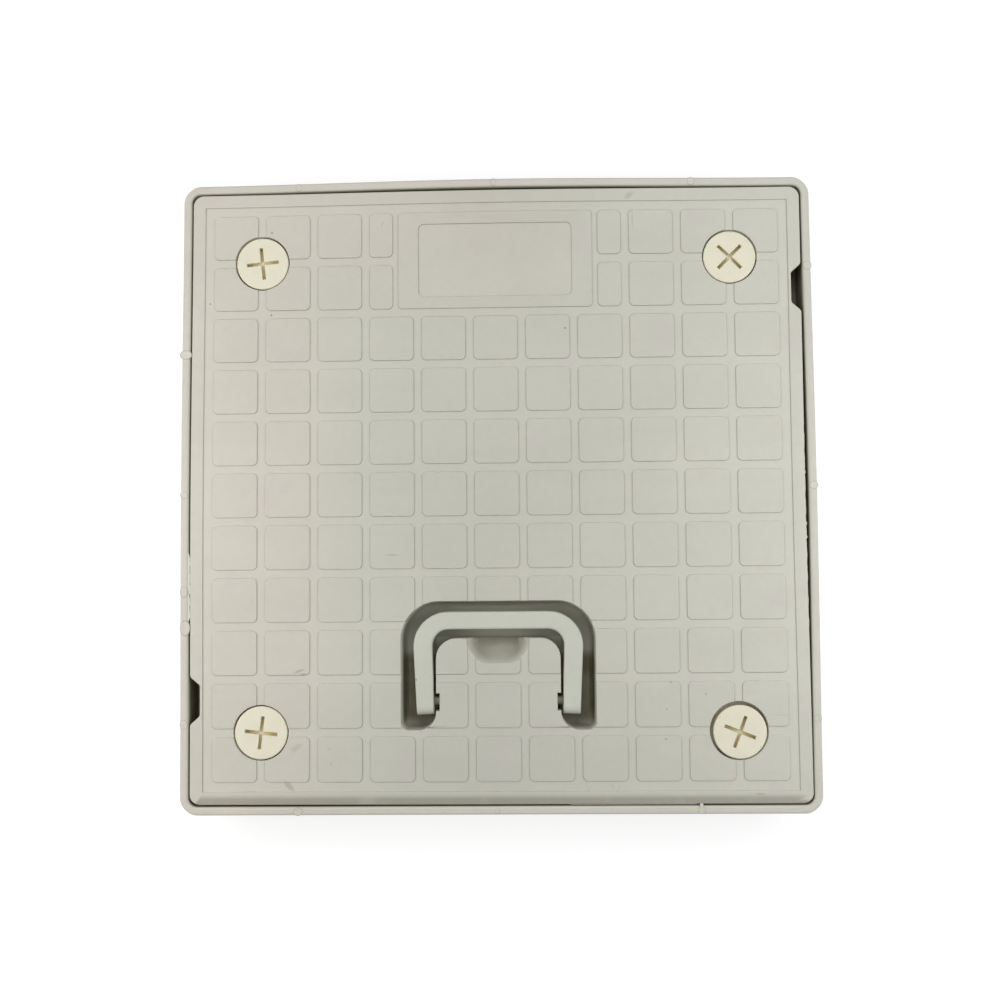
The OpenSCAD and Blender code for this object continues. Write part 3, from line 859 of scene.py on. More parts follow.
@dataclass(frozen=True)
class GateMark:
    """A low round scar that the mould left on the rim.

    Attributes:
        side: The side of the frame that it is on.
        at: Its place along the side, in millimetres.
        long: Its length along the rim.
        wide: Its width across the rim.
        inward: How far its middle lies inside the rim's outer face.
        lift: Height of its edge above the rim.
        pale: How much paler than the rim it is, from 0 to 1.
    """

    side: Side
    at: float
    long: float
    wide: float
    inward: float = 2.5
    lift: float = 0.06
    pale: float = 0.0

    def reach(self, points: np.ndarray, centre: np.ndarray) -> np.ndarray:
        """Gives each point's distance from the middle, as a share of the mark's own radius.

        Args:
            points: Points, one row each.
            centre: The mark's middle, in plan.

        Returns:
            The shares.
        """
        offset = points[:, :2] - centre
        return np.hypot(
            offset @ self.side.along / (self.long / 2 * MM), offset @ self.side.out / (self.wide / 2 * MM)
        )

    def button(self, centre: np.ndarray, rim_z: float, steps: int = 36) -> np.ndarray:
        """Works out the mark's skin, a shallow dish with a raised edge and a flat underside.

        The height is given at a few shares of the radius, and each share is an ellipse.

        Args:
            centre: The mark's middle, in plan.
            rim_z: Height of the rim.
            steps: Points round it.

        Returns:
            The grid of points.
        """
        share = np.array([0.0, 0.5, 0.78, 0.9, 1.0, 1.0, 0.0])[:, None]
        level = np.array([-0.12, -0.1, -0.02, 0.0, -0.1, -1.2, -1.2])[:, None]
        angle = np.linspace(0, TURN, steps, endpoint=False)[None, :]
        along = (share * np.cos(angle) * self.long / 2 * MM)[..., None] * self.side.along
        out = (share * np.sin(angle) * self.wide / 2 * MM)[..., None] * self.side.out
        z = rim_z + (self.lift + level) * MM + 0 * angle
        return np.concatenate([centre + along + out, z[..., None]], axis=2)


@dataclass(frozen=True)
class Flash:
    """A thin ragged fin of plastic that the mould left in the gap round the lid.

    Attributes:
        side: The side that it is on.
        start: Where it starts along the side, in millimetres.
        end: Where it ends.
        root: How far inside the rim's outer face its rooted edge lies.
        tip: How far inside the rim's outer face its free edge lies.
        top: Height of its top above the base.
        thick: Its thickness.
        ragged: How far its free edge wanders.
        step: Distance between the places along it that are worked out.
        run_in: Over what length each end draws in.
    """

    side: Side
    start: float
    end: float
    root: float
    tip: float
    top: float
    thick: float
    ragged: float
    step: float = 0.6
    run_in: float = 3.0

    def fin(self, base: Callable[[Side, np.ndarray], np.ndarray]) -> np.ndarray:
        """Works out the fin's skin, as six points round its section at each place along it.

        The free edge wanders by a sum of three sines, and the ends draw in to the root.

        Args:
            base: Gives the rim's outer face in metres, at places in metres along a side.

        Returns:
            The grid of points.
        """
        at = np.linspace(self.start, self.end, int((self.end - self.start) / self.step) + 2)
        wander = np.sin(at / 1.3) + 0.7 * np.sin(at / 0.57 + 1) + 0.5 * np.sin(at / 3.1 + 2)
        reach = np.clip(np.minimum(at - self.start, self.end - at) / self.run_in, 0, 1) ** 0.5
        free = self.root + (self.tip - self.root + self.ragged * wander / 2) * reach
        inward = np.stack([np.full_like(at, self.root), (self.root + free) / 2, free,
                           free, (self.root + free) / 2, np.full_like(at, self.root)], axis=1)
        drop = np.array([0.0, 0.04, 0.2, self.thick - 0.1, self.thick, self.thick])
        z = (self.top - drop - 0 * inward) * MM
        face = base(self.side, at * MM)[:, None]
        plan = (face - inward * MM)[..., None] * self.side.out + (at * MM)[:, None, None] * self.side.along
        grid = np.concatenate([plan, z[..., None]], axis=2)
        ends = [np.repeat(grid[k:k + 1].mean(axis=1, keepdims=True), 6, axis=1) for k in (0, -1)]
        return np.concatenate([ends[0], grid, ends[1]])


@dataclass
class Surround:
    """The square frame, as it has sprung out of true, with the scars of its mould.

    Attributes:
        plastic: Its finish.
        drifts: How each side has moved.
        marks: The gate marks on its rim.
        flashes: The fins in the gap between rim and lid.
        cuts: Planes across each side that let it bend.
        fade: Where the drift fades out inside the rim, in metres.
        swell: How far its outer face has swollen outwards, in millimetres.
        rim: Width of its rim, across which the swelling fades to nothing, in millimetres.
        shade_and_soil: How far in from the outer face the painted shade and soil of the gap start, in
        millimetres, and by how much its square's corners are cut off.
    """

    plastic: CoverPlastic
    drifts: dict[Side, Drift] = field(default_factory=lambda: {
        Side.RIGHT: Drift(bow=0.85), Side.BACK: Drift(bow=2.1), Side.LEFT: Drift(bow=0.85),
    })
    marks: tuple[GateMark, ...] = (
        GateMark(Side.BACK, 125.9, 4.4, 4.9),
        GateMark(Side.BACK, 0.7, 4.2, 4.9),
        GateMark(Side.BACK, -125.6, 5.2, 5.0),
        GateMark(Side.FRONT, -126.0, 6.4, 5.2, 2.4, 0.1, 0.1),
        GateMark(Side.FRONT, -1.0, 3.4, 3.2),
        GateMark(Side.FRONT, 125.4, 5.4, 4.6, 2.6, 0.04, 0.1),
        GateMark(Side.FRONT, 125.4, 2.2, 3.2, 5.4, -0.2, 0.5),
        GateMark(Side.LEFT, -90.7, 6.0, 7.7, 2.5, 0.2, 0.4),
        GateMark(Side.LEFT, -0.8, 5.2, 4.8, 2.3),
        GateMark(Side.LEFT, 60.7, 7.4, 4.8, 2.4, 0.08, 0.2),
        GateMark(Side.LEFT, 83.5, 10.2, 6.4, 3.2, 0.12, 0.1),
        GateMark(Side.LEFT, 144.0, 6.2, 5.0, 2.4, 0.08, 0.3),
        GateMark(Side.RIGHT, 143.0, 5.8, 5.2, 2.3, 0.08, 0.3),
        GateMark(Side.RIGHT, 3.2, 5.0, 5.6, 2.2, 0.12, 0.4),
        GateMark(Side.RIGHT, -142.0, 5.0, 4.8),
    )
    flashes: tuple[Flash, ...] = (
        Flash(Side.LEFT, 36.0, 80.0, 4.8, 6.1, 44.4, 0.7, 0.3),
        Flash(Side.FRONT, 44.0, 124.0, 5.7, 6.45, 42.6, 20.0, 0.1),
    )
    cuts: int = 23
    fade: tuple[float, float] = (20 * MM, 30 * MM)
    swell: float = 0.5
    rim: float = 4.6
    shade_and_soil: tuple[float, float] = (2.6, 3.3)

    def half(self) -> float:
        """Half the frame's width, in metres."""
        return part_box("frame")[1].x

    def face(self, side: Side, at: np.ndarray) -> np.ndarray:
        """Gives the outer face's distance from the middle.

        Args:
            side: The side.
            at: Places along it, in metres.

        Returns:
            The distances in metres.
        """
        return self.half() + self.swell * MM + self.drifts.get(side, Drift()).at(at / self.half())

    def sprung(self, points: np.ndarray) -> np.ndarray:
        """Lets the four sides drift, and swells the outer face.

        Args:
            points: All points of the frame.

        Returns:
            The points moved.
        """
        half = self.half()
        swelling = {side: Drift(shift=self.swell) for side in Side}
        return drifted(points, half, self.fade, self.drifts) - points + drifted(
            points, half, (0.0, self.rim * MM), swelling
        )

    def scars(self) -> bpy.types.Mesh:
        """Makes the gate marks and fins as one mesh, with each point's scar value.

        The value is 1 at a mark's raised edge, where the material paints a shade line, and the mark's
        paleness below nothing inside it.

        Returns:
            The mesh.
        """
        rim_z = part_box("frame")[1].z
        centres = [
            mark.side.out * (self.face(mark.side, np.array(mark.at * MM)) - mark.inward * MM)
            + mark.side.along * mark.at * MM
            for mark in self.marks
        ]
        grids = [mark.button(centre, rim_z) for mark, centre in zip(self.marks, centres)]
        mesh = surface("rim_scars", *grids, *(flash.fin(self.face) for flash in self.flashes))
        points = np.empty(len(mesh.vertices) * 3, np.float32)
        mesh.vertices.foreach_get("co", points)
        points = points.reshape(-1, 3)
        values = np.full(len(points), -0.6, np.float32)
        for mark, centre in zip(self.marks, centres):
            reach = mark.reach(points, centre)
            edge = np.clip((reach - 0.8) / 0.1, 0, 1)
            values = np.where(reach < 1.01, edge - mark.pale * (1 - edge), values)
        mesh.attributes.new(SCAR, "FLOAT", "POINT").data.foreach_set("value", values.astype(np.float32))
        return mesh

    def build(self) -> None:
        """Builds the frame from a copy of its node, and its scars."""
        # Painted shade with some soil on the walls of the gap round the lid.
        gap = Recess.round_box("frame", -self.shade_and_soil[0], corner=self.shade_and_soil[1])
        material = replace(self.plastic, recesses=(gap,)).material()
        work = merged_copy("frame")
        half = self.half()
        for axis in (0, 1):
            cut_across(work, axis, np.linspace(-half, half, self.cuts + 2)[1:-1])
        mesh = moved(work, "frame_moulding", self.sprung)
        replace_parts(piece(mesh, material, Body.COVER), "frame")
        piece(self.scars(), material, Body.COVER)


@dataclass(frozen=True)
class FingerScoop:
    """The scoop in the well's island, whose floor is a ramp down to the well's floor.

    In plan it has a straight front, two round corners and straight sides up to the island's
    back edge, and all of them draw in evenly with depth. Its node is a flat-floored bowl, so
    the lid's copy is reshaped to the ramp. Lengths are in millimetres.

    Attributes:
        half: Half its width at the top.
        corner: Radius of its corners at the top.
        front: Place of its front edge at the top.
        back: Place of the island's back edge.
        top: Height of the lid's face.
        bowl: Depths of the node's bowl at its top, its bevel and its floor.
        drawn: How far inside the plan those three lines lie.
        lean: Depth that a wall gains for each unit it leans in.
        ramp: Depths of the ramp at its front end and at the island's back edge.
        kept: Depth down to which nothing moves.
        lowest: Depth below which nothing moves.
        brim: How far behind the island's back edge points still count.
        near: How near the bowl's surface a point counts as being on it.
        spare: How far inside the bowl's lowest line a point still counts as being on a wall.
    """

    half: float
    corner: float
    front: float
    back: float
    top: float
    bowl: tuple[float, ...] = (0.0, 8.5, 12.0)
    drawn: tuple[float, ...] = (0.0, 4.0, 7.5)
    lean: float = 1.9
    ramp: tuple[float, float] = (8.0, 14.5)
    kept: float = 1.0
    lowest: float = 15.2
    brim: float = 0.6
    near: float = 0.15
    spare: float = 0.1

    def fall(self) -> float:
        """Depth that the ramp gains for each unit towards the back."""
        end = self.front + self.ramp[0] / self.lean
        return (self.ramp[1] - self.ramp[0]) / (self.back - end)

    def ramped(self, points: np.ndarray) -> np.ndarray:
        """Turns the bowl into the ramp.

        How far a point lies inside the plan is the corner's radius less its distance from the
        corner's centre, along each axis only past the centre. A point of the bowl's walls
        moves straight out or in until its lowest line meets the ramp, where the wall's depth
        and the ramp's are the same. Any other point under the scoop keeps its thickness.

        Args:
            points: All points of the lid.

        Returns:
            The points moved.
        """
        x, y, z = points.T / MM
        depth = self.top - z
        across = np.maximum(np.abs(x) - (self.half - self.corner), 0)
        along = np.maximum(self.front + self.corner - y, 0)
        reach = np.hypot(across, along)
        inside = self.corner - reach
        away = np.maximum(reach, 0.01)  # never nought, so that it can be divided by
        out_x, out_y = across / away, along / away
        bowl = np.interp(inside, self.drawn, self.bowl)
        within = (inside > 0) & (y < self.back + self.brim)
        within &= (depth > self.kept) & (depth < self.lowest)
        skin = within & (np.abs(depth - bowl) < self.near)
        wall = skin & (inside < self.drawn[-1] + self.spare)
        fall = self.fall()
        foot = (self.ramp[1] - fall * (self.back - y + out_y * inside)) / (self.lean - fall * out_y)
        drawn = foot * np.interp(inside, self.drawn, (0.0, 0.5, 1.0))
        ramp = self.ramp[1] - fall * (self.back - y)
        shift = np.where(wall, inside - drawn, 0)
        under = depth + np.minimum(self.lean * inside, ramp) - bowl
        deep = np.select([wall, skin, within & (y < self.back)], [self.lean * drawn, ramp, under], depth)
        moved_x = x + np.sign(x) * out_x * shift
        return np.stack([moved_x, y - out_y * shift, self.top - deep], axis=1) * MM


@dataclass
class LidMoulding:
    """The lid, with the soft edges that its mould leaves and its own wear.

    Attributes:
        plastic: Its finish.
        edge: Width of the rounding on the raised edges, in metres.
        relief_z: Height of the grooves' floor, in metres.
        drifts: How each side has moved.
        fade: Where the drift fades out inside the edge, in metres.
        cuts: Planes across each side that let it bend.
        droop: Width and depth of the worn slope along the front edge, in metres.
        frayed: Where the right edge is frayed, from front to back, in metres.
        nicks: Places of the stray bits on that edge, in metres.
        skirt: How far in from the edge the painted shade and soil of the gap reach, in millimetres.
        scoop_size: The scoop's width, length and corner radius at the top, in millimetres.
        bar_to_island: How far the island's back edge lies in front of the handle's back face.
        well_side: How far the well reaches past the handle's sides, in millimetres.
        well_ends: How far it reaches past the handle's front and back.
        well_leg: Width of the well beside the island.
        relief_h: Height of the raised faces above the grooves' floor, in millimetres.
        frays: Height, length and phase of each sine in the fraying, in millimetres.
        fray_run: Over what length the fraying sets in and ends, in metres.
        fray_in: How far inside the edge the fraying starts, and over what width it grows.
        fray_z: Height at which it starts, and over what rise it grows, in metres.
        fray_strip: Width of the strip along the edge that is cut finely, in metres.
        fray_step: Distance between those cuts, in metres.
        nick_size: How far a stray bit stands out in millimetres, and its width in metres.
        nick_cuts: How far to each side of a stray bit it is cut finely, in millimetres.
        leg_shadow_ends: How far the painted shadow of the handle in the well's legs lies from the
        handle's front and from the island's back edge, in millimetres.
        leg_shadow_soft: Over what share of its size that painted shadow fades out.
        well_shade_and_soil: How strongly painted shade and soil darken the rest of the well.
        scoop_shade_and_soil: How strongly painted shade and soil darken the scoop, and the height at which
            they are whole, in millimetres.
        pocket_margin: How far the screws' pockets reach past their heads, in millimetres.
    """

    plastic: CoverPlastic
    edge: float = 0.55 * MM
    relief_z: float = 43.9 * MM
    drifts: dict[Side, Drift] = field(default_factory=lambda: {
        Side.RIGHT: Drift(0.35, -0.2, -0.4), Side.BACK: Drift(0.1, 0.0, 1.2),
        Side.LEFT: Drift(0.2, 0.0, 0.85), Side.FRONT: Drift(0.15, 0.1, 0.1),
    })
    fade: tuple[float, float] = (10 * MM, 75 * MM)
    cuts: int = 23
    droop: tuple[float, float] = (2.4 * MM, 0.9 * MM)
    frayed: tuple[float, float] = (-92 * MM, 46 * MM)
    nicks: tuple[float, ...] = (11.3 * MM, -20.8 * MM, -29.5 * MM)
    skirt: float = 7.0
    scoop_size: tuple[float, float, float] = (39.4, 15.6, 14.5)
    bar_to_island: float = 16.7
    well_side: float = 7.6
    well_ends: tuple[float, float] = (9.1, 6.4)
    well_leg: float = 21.0
    relief_h: float = 0.7
    frays: tuple[Point, ...] = ((0.11, 2.3, 0.0), (0.06, 1.1, 1.0), (0.04, 0.6, 0.0))
    fray_run: float = 8 * MM
    fray_in: tuple[float, float] = (3 * MM, 2.4 * MM)
    fray_z: tuple[float, float] = (38 * MM, 5 * MM)
    fray_strip: float = 9 * MM
    fray_step: float = 1.2 * MM
    nick_size: tuple[float, float] = (0.6, 0.8 * MM)
    nick_cuts: float = 1.6
    leg_shadow_ends: tuple[float, float] = (1.0, 15.0)
    leg_shadow_soft: float = 0.75
    well_shade_and_soil: float = 0.45
    scoop_shade_and_soil: tuple[float, float] = (0.6, 34.0)
    pocket_margin: float = 1.5

    def scoop(self) -> FingerScoop:
        """Places the scoop at the island's back edge and returns it."""
        wide, long, corner = self.scoop_size
        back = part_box("handle")[1].y / MM - self.bar_to_island
        return FingerScoop(wide / 2, corner, back - long, back, self.relief_z / MM + self.relief_h)

    def worn(self, points: np.ndarray) -> np.ndarray:
        """Reshapes the scoop, slopes the front edge, frays the right one and lets all four drift.

        The slope is a parabola. The fraying is a sum of three sines within its stretch, and
        each stray bit is a narrow bell curve.

        Args:
            points: All points of the lid.

        Returns:
            The points moved.
        """
        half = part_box("lid")[1].x
        made = self.scoop().ramped(points)
        wide, deep = self.droop
        front = np.clip(1 - (points[:, 1] + half) / wide, 0, 1)
        made[:, 2] -= np.where(points[:, 2] > self.relief_z - MM, deep * front ** 2, 0)
        y = points[:, 1] / MM
        start, end = self.frayed
        window = np.clip(np.minimum(points[:, 1] - start, end - points[:, 1]) / self.fray_run, 0, 1)
        fray = window * sum(size * np.sin(y / long + turn) for size, long, turn in self.frays)
        proud, broad = self.nick_size
        for nick in self.nicks:
            fray += proud * np.exp(-((points[:, 1] - nick) / broad) ** 2)
        near = np.clip((points[:, 0] - half + self.fray_in[0]) / self.fray_in[1], 0, 1)
        high = np.clip((points[:, 2] - self.fray_z[0]) / self.fray_z[1], 0, 1)
        made[:, 0] += near * high * fray * MM
        return drifted(made, half, self.fade, self.drifts)

    def recesses(self) -> tuple[Recess, ...]:
        """Gives the places of painted shade and soil: the well with the handle's painted shadow and the
        scoop, the skirt, and the screws' pockets.
        """
        low, high = (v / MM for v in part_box("handle"))
        left, right = low.x - self.well_side, high.x + self.well_side
        front, back = low.y - self.well_ends[0], high.y + self.well_ends[1]
        scoop = self.scoop()
        legs = ((left, left + self.well_leg), (right - self.well_leg, right))
        # Painted shadow of the handle along the well's legs; painted shade with some soil over the rest of
        # the well, the scoop, the skirt and the screws' pockets.
        dark = low.y - self.leg_shadow_ends[0], scoop.back - self.leg_shadow_ends[1]
        return (
            *(Recess.between(*leg, *dark, soft=self.leg_shadow_soft) for leg in legs),
            *(Recess.between(*leg, front, back, strength=self.well_shade_and_soil) for leg in legs),
            Recess.between(left, right, scoop.back, back, strength=self.well_shade_and_soil),
            Recess.between(-scoop.half, scoop.half, scoop.front, scoop.back,
                           strength=self.scoop_shade_and_soil[0], full_z=self.scoop_shade_and_soil[1]),
            Recess.round_box("lid", -self.skirt, outside=True),
            *(Recess.round_box(node, self.pocket_margin, rounded=True) for node in SCREWS),
        )

    def build(self) -> None:
        """Builds the lid from a copy of its node."""
        work = merged_copy("lid")
        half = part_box("lid")[1].x
        floor = self.relief_z - 0.1 * MM
        count = soften(
            work, lambda e: e.is_convex and min(v.co.z for v in e.verts) > floor, self.edge
        )
        log.info("lid: %d edges rounded", count)
        for axis in (0, 1):
            cut_across(work, axis, np.linspace(-half, half, self.cuts + 2)[1:-1])
        slope = np.linspace(0, self.droop[0], 5)[1:] - half
        cut_across(work, 1, slope, lambda f: f.calc_center_median().y < 3 * MM - half)
        start, end = self.frayed
        fine = np.linspace(start, end, int((end - start) / self.fray_step))
        around = np.linspace(-self.nick_cuts, self.nick_cuts, 9) * MM
        bits = np.concatenate([nick + around for nick in self.nicks])
        for places in (fine, bits):
            cut_across(work, 1, places, lambda f: f.calc_center_median().x > half - self.fray_strip)
        plastic = replace(self.plastic, recesses=self.recesses())
        made = piece(moved(work, "lid_moulding", self.worn), plastic.material(), Body.COVER)
        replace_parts(made, "lid")


@dataclass
class BailHandle:
    """The U-shaped handle.

    Attributes:
        plastic: Its finish.
        leg: Width of its legs, in millimetres.
    """

    plastic: CoverPlastic
    leg: float = 12.6

    def build(self) -> None:
        """Builds the handle from a copy of its node, with painted shade on its pins."""
        low, high = (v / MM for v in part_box("handle"))
        # Painted shade: the pins between the legs take the deep colour.
        pins = Recess((low.x + high.x) / 2, low.y + self.leg, (high.x - low.x) / 2 - self.leg, self.leg)
        plastic = replace(self.plastic, recesses=(pins,))
        made = piece(moved(merged_copy("handle"), "bail_moulding"), plastic.material(), Body.BAIL,
                     smooth_below=40)
        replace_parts(made, "handle")


@dataclass
class SlotScrew:
    """One screw: a head with a cross slot, and a threaded shank.

    Attributes:
        node: Name of its node.
        material: Its material.
        crest_r: Radius over the thread's crests, in metres.
        root_r: Radius at the thread's roots, in metres.
        pitch: Rise of the thread in one turn, in metres.
        head_h: Thickness of the head, in metres.
        steps: Points round the thread.
        per_pitch: Rows of points for each turn of the thread.
        ridge: Height at which the ridge's flanks would meet, their fall for each pitch, and
            the height at which they are cut off blunt.
        fades: Shares of the shank over which the ridge fades in at the tip and out at the top.
        taper: By what share the tip draws in, and over what share of the shank.
        edge: Width of the rounding on the head's edge, in metres.
        inside: How far under the thread's roots the plain shank is drawn in, in metres.
    """

    node: str
    material: bpy.types.Material
    crest_r: float = 9.0 * MM
    root_r: float = 7.7 * MM
    pitch: float = 3.6 * MM
    head_h: float = 6.0 * MM
    steps: int = 48
    per_pitch: int = 10
    ridge: tuple[float, float, float] = (1.25, 3.4, 0.85)
    fades: tuple[float, float] = (0.07, 0.04)
    taper: tuple[float, float] = (0.13, 0.05)
    edge: float = 0.25 * MM
    inside: float = 0.3 * MM

    def thread(self, x: float, y: float, low: float, high: float) -> np.ndarray:
        """Works out the shank's surface as a function of height and of the angle round the axis.

        The radius is the root plus a blunt ridge whose phase is the height in pitches less
        the share of a turn, so that the ridge winds up. It fades in at the tip and out under
        the head, and the first and last rows close on the axis.

        Args:
            x: Place of the axis.
            y: Place of the axis.
            low: Height of the tip.
            high: Height of the top of the shank.

        Returns:
            The grid of points.
        """
        rows = int((high - low) / self.pitch * self.per_pitch)
        level = np.linspace(0, 1, rows)[:, None]
        share = np.linspace(0, 1, self.steps, endpoint=False)[None, :]
        z = low + (high - low) * level
        phase = (z - low) / self.pitch - share
        peak, fall, blunt = self.ridge
        ridge = np.clip(peak - fall * np.abs(phase - np.round(phase)), 0, blunt) / blunt
        fade = np.clip(level / self.fades[0], 0, 1) * np.clip((1 - level) / self.fades[1], 0, 1)
        tip = 1 - self.taper[0] * np.clip(1 - level / self.taper[1], 0, 1)
        radius = (self.root_r + (self.crest_r - self.root_r) * ridge * fade) * tip
        angle = share * TURN
        grid = np.stack([x + radius * np.cos(angle), y + radius * np.sin(angle), z + 0 * share], axis=2)
        ends = [np.broadcast_to([x, y, h], (1, self.steps, 3)) for h in (low, high)]
        return np.concatenate([ends[0], grid, ends[1]])

    def build(self) -> None:
        """Builds the head and the thread, which stand for the node together."""
        low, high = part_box(self.node)
        centre = (low + high) / 2
        under_head = high.z - self.head_h

        def slimmed(points: np.ndarray) -> np.ndarray:
            """Draws the plain shank in to just under the thread's roots."""
            shank = points[:, 2] < under_head - 0.01 * MM
            factor = np.where(shank, (self.root_r - self.inside) / self.crest_r, 1.0)[:, None]
            made = points.copy()
            made[:, :2] = [centre.x, centre.y] + (points[:, :2] - [centre.x, centre.y]) * factor
            return made

        work = merged_copy(self.node)
        top = high.z - 0.05 * MM
        soften(work, lambda e: e.is_convex and min(v.co.z for v in e.verts) > top, self.edge)
        mesh = moved(work, f"{self.node}_head", slimmed)
        head = piece(mesh, self.material, Body.COVER)
        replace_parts(head, self.node)
        grid = self.thread(centre.x, centre.y, low.z, under_head)
        piece(surface(f"{self.node}_thread", grid), self.material, Body.COVER)


@dataclass(frozen=True)
class SoftLamp:
    """A square soft lamp that points at the middle of the cover.

    Attributes:
        name: Name of the lamp.
        at: Its place, in metres.
        size: Its width, in metres.
        power: Its power in watts.
        colour: Its colour.
    """

    name: str
    at: Point
    size: float
    power: float
    colour: Colour = (1.0, 1.0, 1.0)

    def build(self) -> None:
        """Hangs the lamp, out of the camera's sight."""
        data = bpy.data.lights.new(self.name, "AREA")
        data.shape, data.size, data.energy, data.color = "SQUARE", self.size, self.power, self.colour
        made = bpy.data.objects.new(self.name, data)
        bpy.context.scene.collection.objects.link(made)
        made.location = self.at
        made.rotation_euler = (-made.location).to_track_quat("-Z", "Y").to_euler()
        made.visible_camera = False


@dataclass
class Studio:
    """Floor, lamps, world and camera.

    Attributes:
        floor_half: Half the floor's width, in metres.
        floor_grey: Darkest and palest grey of the floor as a light reflector.
        floor_shown: Grey of the floor that the camera sees, before its glow.
        floor_glow: Strength of that glow.
        sky: Strength of the world's light on the cover.
        lamps: The soft lamps.
        camera_at: Place of the camera, in metres.
        camera_tilt: Its turns about X, Y and Z, in degrees.
        lens: Focal length on a 36 mm sensor, in millimetres.
    """

    floor_half: float = 4.0
    floor_grey: tuple[float, float] = (0.45, 0.5)
    floor_shown: float = 0.4
    floor_glow: float = 0.72
    sky: float = 0.53
    lamps: tuple[SoftLamp, ...] = (
        SoftLamp("back_lamp", (0.0, 0.62, 0.95), 0.5, 2.2),
        SoftLamp("left_lamp", (-0.52, -0.04, 0.42), 0.36, 1.45, (1.0, 0.99, 0.97)),
        SoftLamp("right_lamp", (0.52, -0.02, 0.42), 0.36, 1.35, (0.98, 0.99, 1.0)),
    )
    camera_at: Point = (0.0211, -0.0490, 0.7886)
    camera_tilt: Point = (3.42, 1.5, -0.49)
    lens: float = 42.48

    def floor(self) -> None:
        """Lays a pale floor that shows nearly white to the camera and keeps the shadow."""
        half = self.floor_half
        corners = [(-half, -half, 0), (half, -half, 0), (half, half, 0), (-half, half, 0)]
        mesh = bpy.data.meshes.new("floor")
        mesh.from_pydata(corners, [], [(0, 1, 2, 3)])
        made = bpy.data.objects.new("floor", mesh)
        bpy.context.scene.collection.objects.link(made)
        tree = ShaderTree("floor_paper")
        ray = tree.add("ShaderNodeLightPath").outputs
        seen = tree.math("MAXIMUM", ray["Is Camera Ray"], ray["Is Glossy Ray"])
        seen = tree.math("MAXIMUM", seen, ray["Is Transmission Ray"])
        speck = tree.spread(tree.noise(40.0, 3.0), *self.floor_grey)
        grey = tree.add("ShaderNodeCombineXYZ", {0: speck, 1: speck, 2: speck}).outputs[0]
        plain = tree.add("ShaderNodeBsdfDiffuse", {"Color": grey})
        shown_grey = (self.floor_shown, self.floor_shown, self.floor_shown, 1.0)
        pale = tree.add("ShaderNodeBsdfDiffuse", {"Color": shown_grey})
        white = (1.0, 1.0, 1.0, 1.0)
        glow = tree.add("ShaderNodeEmission", {"Color": white, "Strength": self.floor_glow})
        shown = tree.add("ShaderNodeAddShader", {0: pale.outputs[0], 1: glow.outputs[0]})
        both = tree.add("ShaderNodeMixShader", {0: seen, 1: plain.outputs[0], 2: shown.outputs[0]})
        tree.add("ShaderNodeOutputMaterial", {"Surface": both.outputs[0]})
        mesh.materials.append(tree.material)

    def world(self) -> None:
        """Fills the surroundings with a soft light that shows white to the camera."""
        world = bpy.data.worlds.new("studio")
        bpy.context.scene.world = world
        world.use_nodes = True
        nodes, links = world.node_tree.nodes, world.node_tree.links
        nodes.clear()
        ray = nodes.new("ShaderNodeLightPath").outputs
        seen = ray["Is Camera Ray"]
        for other in ("Is Glossy Ray", "Is Transmission Ray"):
            either = nodes.new("ShaderNodeMath")
            either.operation = "MAXIMUM"
            links.new(seen, either.inputs[0])
            links.new(ray[other], either.inputs[1])
            seen = either.outputs[0]
        level = nodes.new("ShaderNodeMapRange")
        level.inputs["To Min"].default_value = self.sky
        level.inputs["To Max"].default_value = 1.0
        links.new(seen, level.inputs["Value"])
        sky = nodes.new("ShaderNodeBackground")
        links.new(level.outputs["Result"], sky.inputs["Strength"])
        out = nodes.new("ShaderNodeOutputWorld")
        links.new(sky.outputs[0], out.inputs["Surface"])

    def camera(self) -> None:
        """Sets up the camera where the photograph was taken from."""
        data = bpy.data.cameras.new("camera")
        data.sensor_width, data.lens = 36.0, self.lens
        data.clip_start, data.clip_end = 0.01, 50.0
        made = bpy.data.objects.new("camera", data)
        bpy.context.scene.collection.objects.link(made)
        made.location = self.camera_at
        made.rotation_euler = tuple(math.radians(a) for a in self.camera_tilt)
        bpy.context.scene.camera = made

    def build(self) -> None:
        """Builds the studio."""
        self.floor()
        self.world()
        for lamp in self.lamps:
            lamp.build()
        self.camera()
        bpy.context.scene.view_settings.view_transform = "Standard"


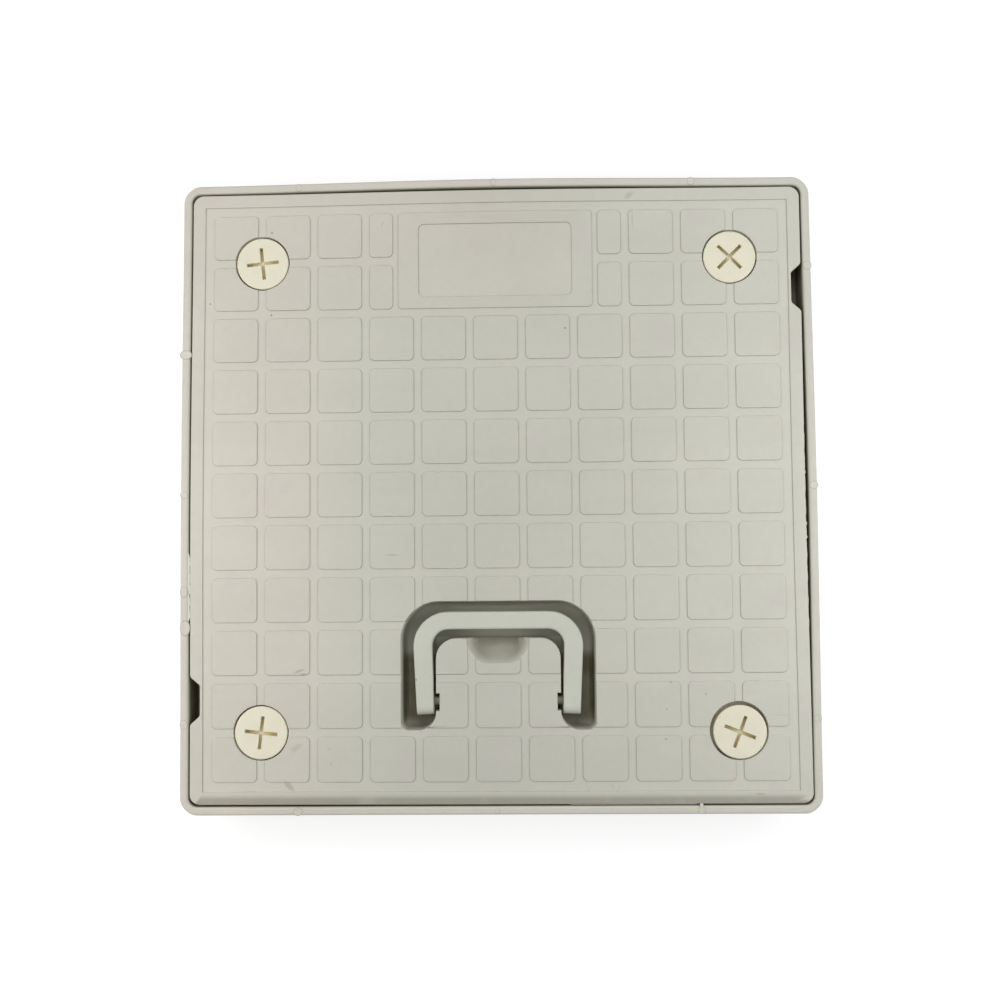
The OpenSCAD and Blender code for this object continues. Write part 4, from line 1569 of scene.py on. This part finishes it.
LID_MARKS = (
    *(Mark.speck(*place) for place in (
        (-143.4, 169.3), (-143.8, 115.9), (-183.3, 123.7), (44.3, 104.9), (129.3, -126.7, 1.3, 0.4),
        (104.9, -135.8, 1.3, 0.4), (104.0, -154.3, 1.3, 0.5), (107.7, -119.2, 1.3, 0.4),
        (-106.3, -159.7, 1.3, 0.3), (-105.0, -168.5, 1.3, 0.3),
    )),
    *(Mark.scratch(*line) for line in (
        (-66.5, -38.5, 10.0, 0.0), (55.8, -185.5, 6.0, 60.0, 0.2), (73.8, -185.5, 6.0, 60.0, 0.2),
        (54.6, -182.4, 5.0, 110.0, 0.2), (70.7, -183.7, 5.0, 110.0, 0.2), (88.0, 175.5, 17.0, 90.0, 0.3),
        (174.8, -139.9, 14.0, 0.0, 0.15), (-156.1, -185.9, 9.0, 0.0, 0.2), (-72.0, 174.0, 6.0, 60.0, 0.3),
    )),
    *(Mark.scuff(*stroke) for stroke in (
        (123.2, -156.3, 9.0, 1.4, 5.0), (123.1, -160.6, 8.0, 1.4, -8.0), (127.0, -167.3, 8.0, 1.5, 60.0),
        (131.6, -168.0, 8.0, 1.5, -65.0), (134.7, -168.6, 7.0, 1.5, 50.0),
        (143.8, -174.8, 10.0, 2.4, 20.0), (143.7, -180.9, 7.0, 2.2, 70.0), (170.0, 132.0, 5.0, 1.0, 60.0),
        (174.0, 132.5, 6.0, 1.0, 62.0), (178.0, 133.5, 6.0, 1.0, 60.0),
    )),
    Mark(-125.5, -111.0, 8.0, 1.6, 20.0, rgb(140, 136, 116), 0.45),
    Mark(-122.8, -113.0, 5.0, 1.3, 5.0, rgb(130, 124, 104), 0.5),
    Mark(-131.6, -182.5, 9.0, 3.6, -45.0, rgb(150, 148, 126), 0.45),
    Mark(-127.2, -158.8, 9.0, 4.0, 30.0, rgb(158, 160, 140), 0.3),
    Mark(162.0, -188.3, 7.0, 1.6, 0.0, rgb(160, 158, 144), 0.4),
    Mark(86.0, 190.0, 7.0, 4.0, 40.0, rgb(160, 156, 140), 0.4),
)


def main() -> None:
    """Builds the cover and its studio in order."""
    logging.basicConfig(level=logging.INFO, format="%(message)s")
    Studio().build()
    # Deep colour of recesses: painted shade with some soil.
    shade_and_soil_colour = rgb(112, 106, 82)
    # The relief's crease colour is a painted shade line at the foot of the raised edges.
    lid_relief = Relief(
        groove=rgb(206, 205, 193), crease_shade=rgb(130, 126, 105), share=0.6, front_share=0.85,
        back_share=0.25, low_z=43.9, high_z=44.6,
    )
    # The lid's middle and front edge are painted darker, as shade.
    lid = CoverPlastic(
        "cover_plastic_lid", plain=rgb(204, 203, 191), deep=shade_and_soil_colour, shade_top_z=44.0, deep_z=29.0,
        under_z=22.6, roughness=0.5, relief=lid_relief, marks=LID_MARKS, middle_shade=0.09, front_shade=0.02,
    )
    rim = CoverPlastic(
        "cover_plastic_frame", plain=rgb(205, 203, 191), deep=shade_and_soil_colour, shade_top_z=44.4, deep_z=38.0,
        under_z=22.0, roughness=0.48,
    )
    # The handle's deep colour is painted shade on its pins.
    bar = CoverPlastic(
        "cover_plastic_handle", plain=rgb(200, 202, 189), deep=rgb(110, 108, 82), shade_top_z=50.0,
        deep_z=49.0, under_z=0.0, roughness=0.42, marks=(Mark.speck(-51.7, -116.9),),
    )
    Surround(rim).build()
    LidMoulding(lid).build()
    BailHandle(bar).build()
    cream = ScrewPlastic(
        "screw_plastic_cream", top=rgb(230, 225, 203), slot=rgb(208, 194, 146),
        top_z=43.9, slot_z=41.0, roughness=0.38,
    ).material()
    for node in SCREWS:
        SlotScrew(node, cream).build()


if __name__ == "__main__":
    main()
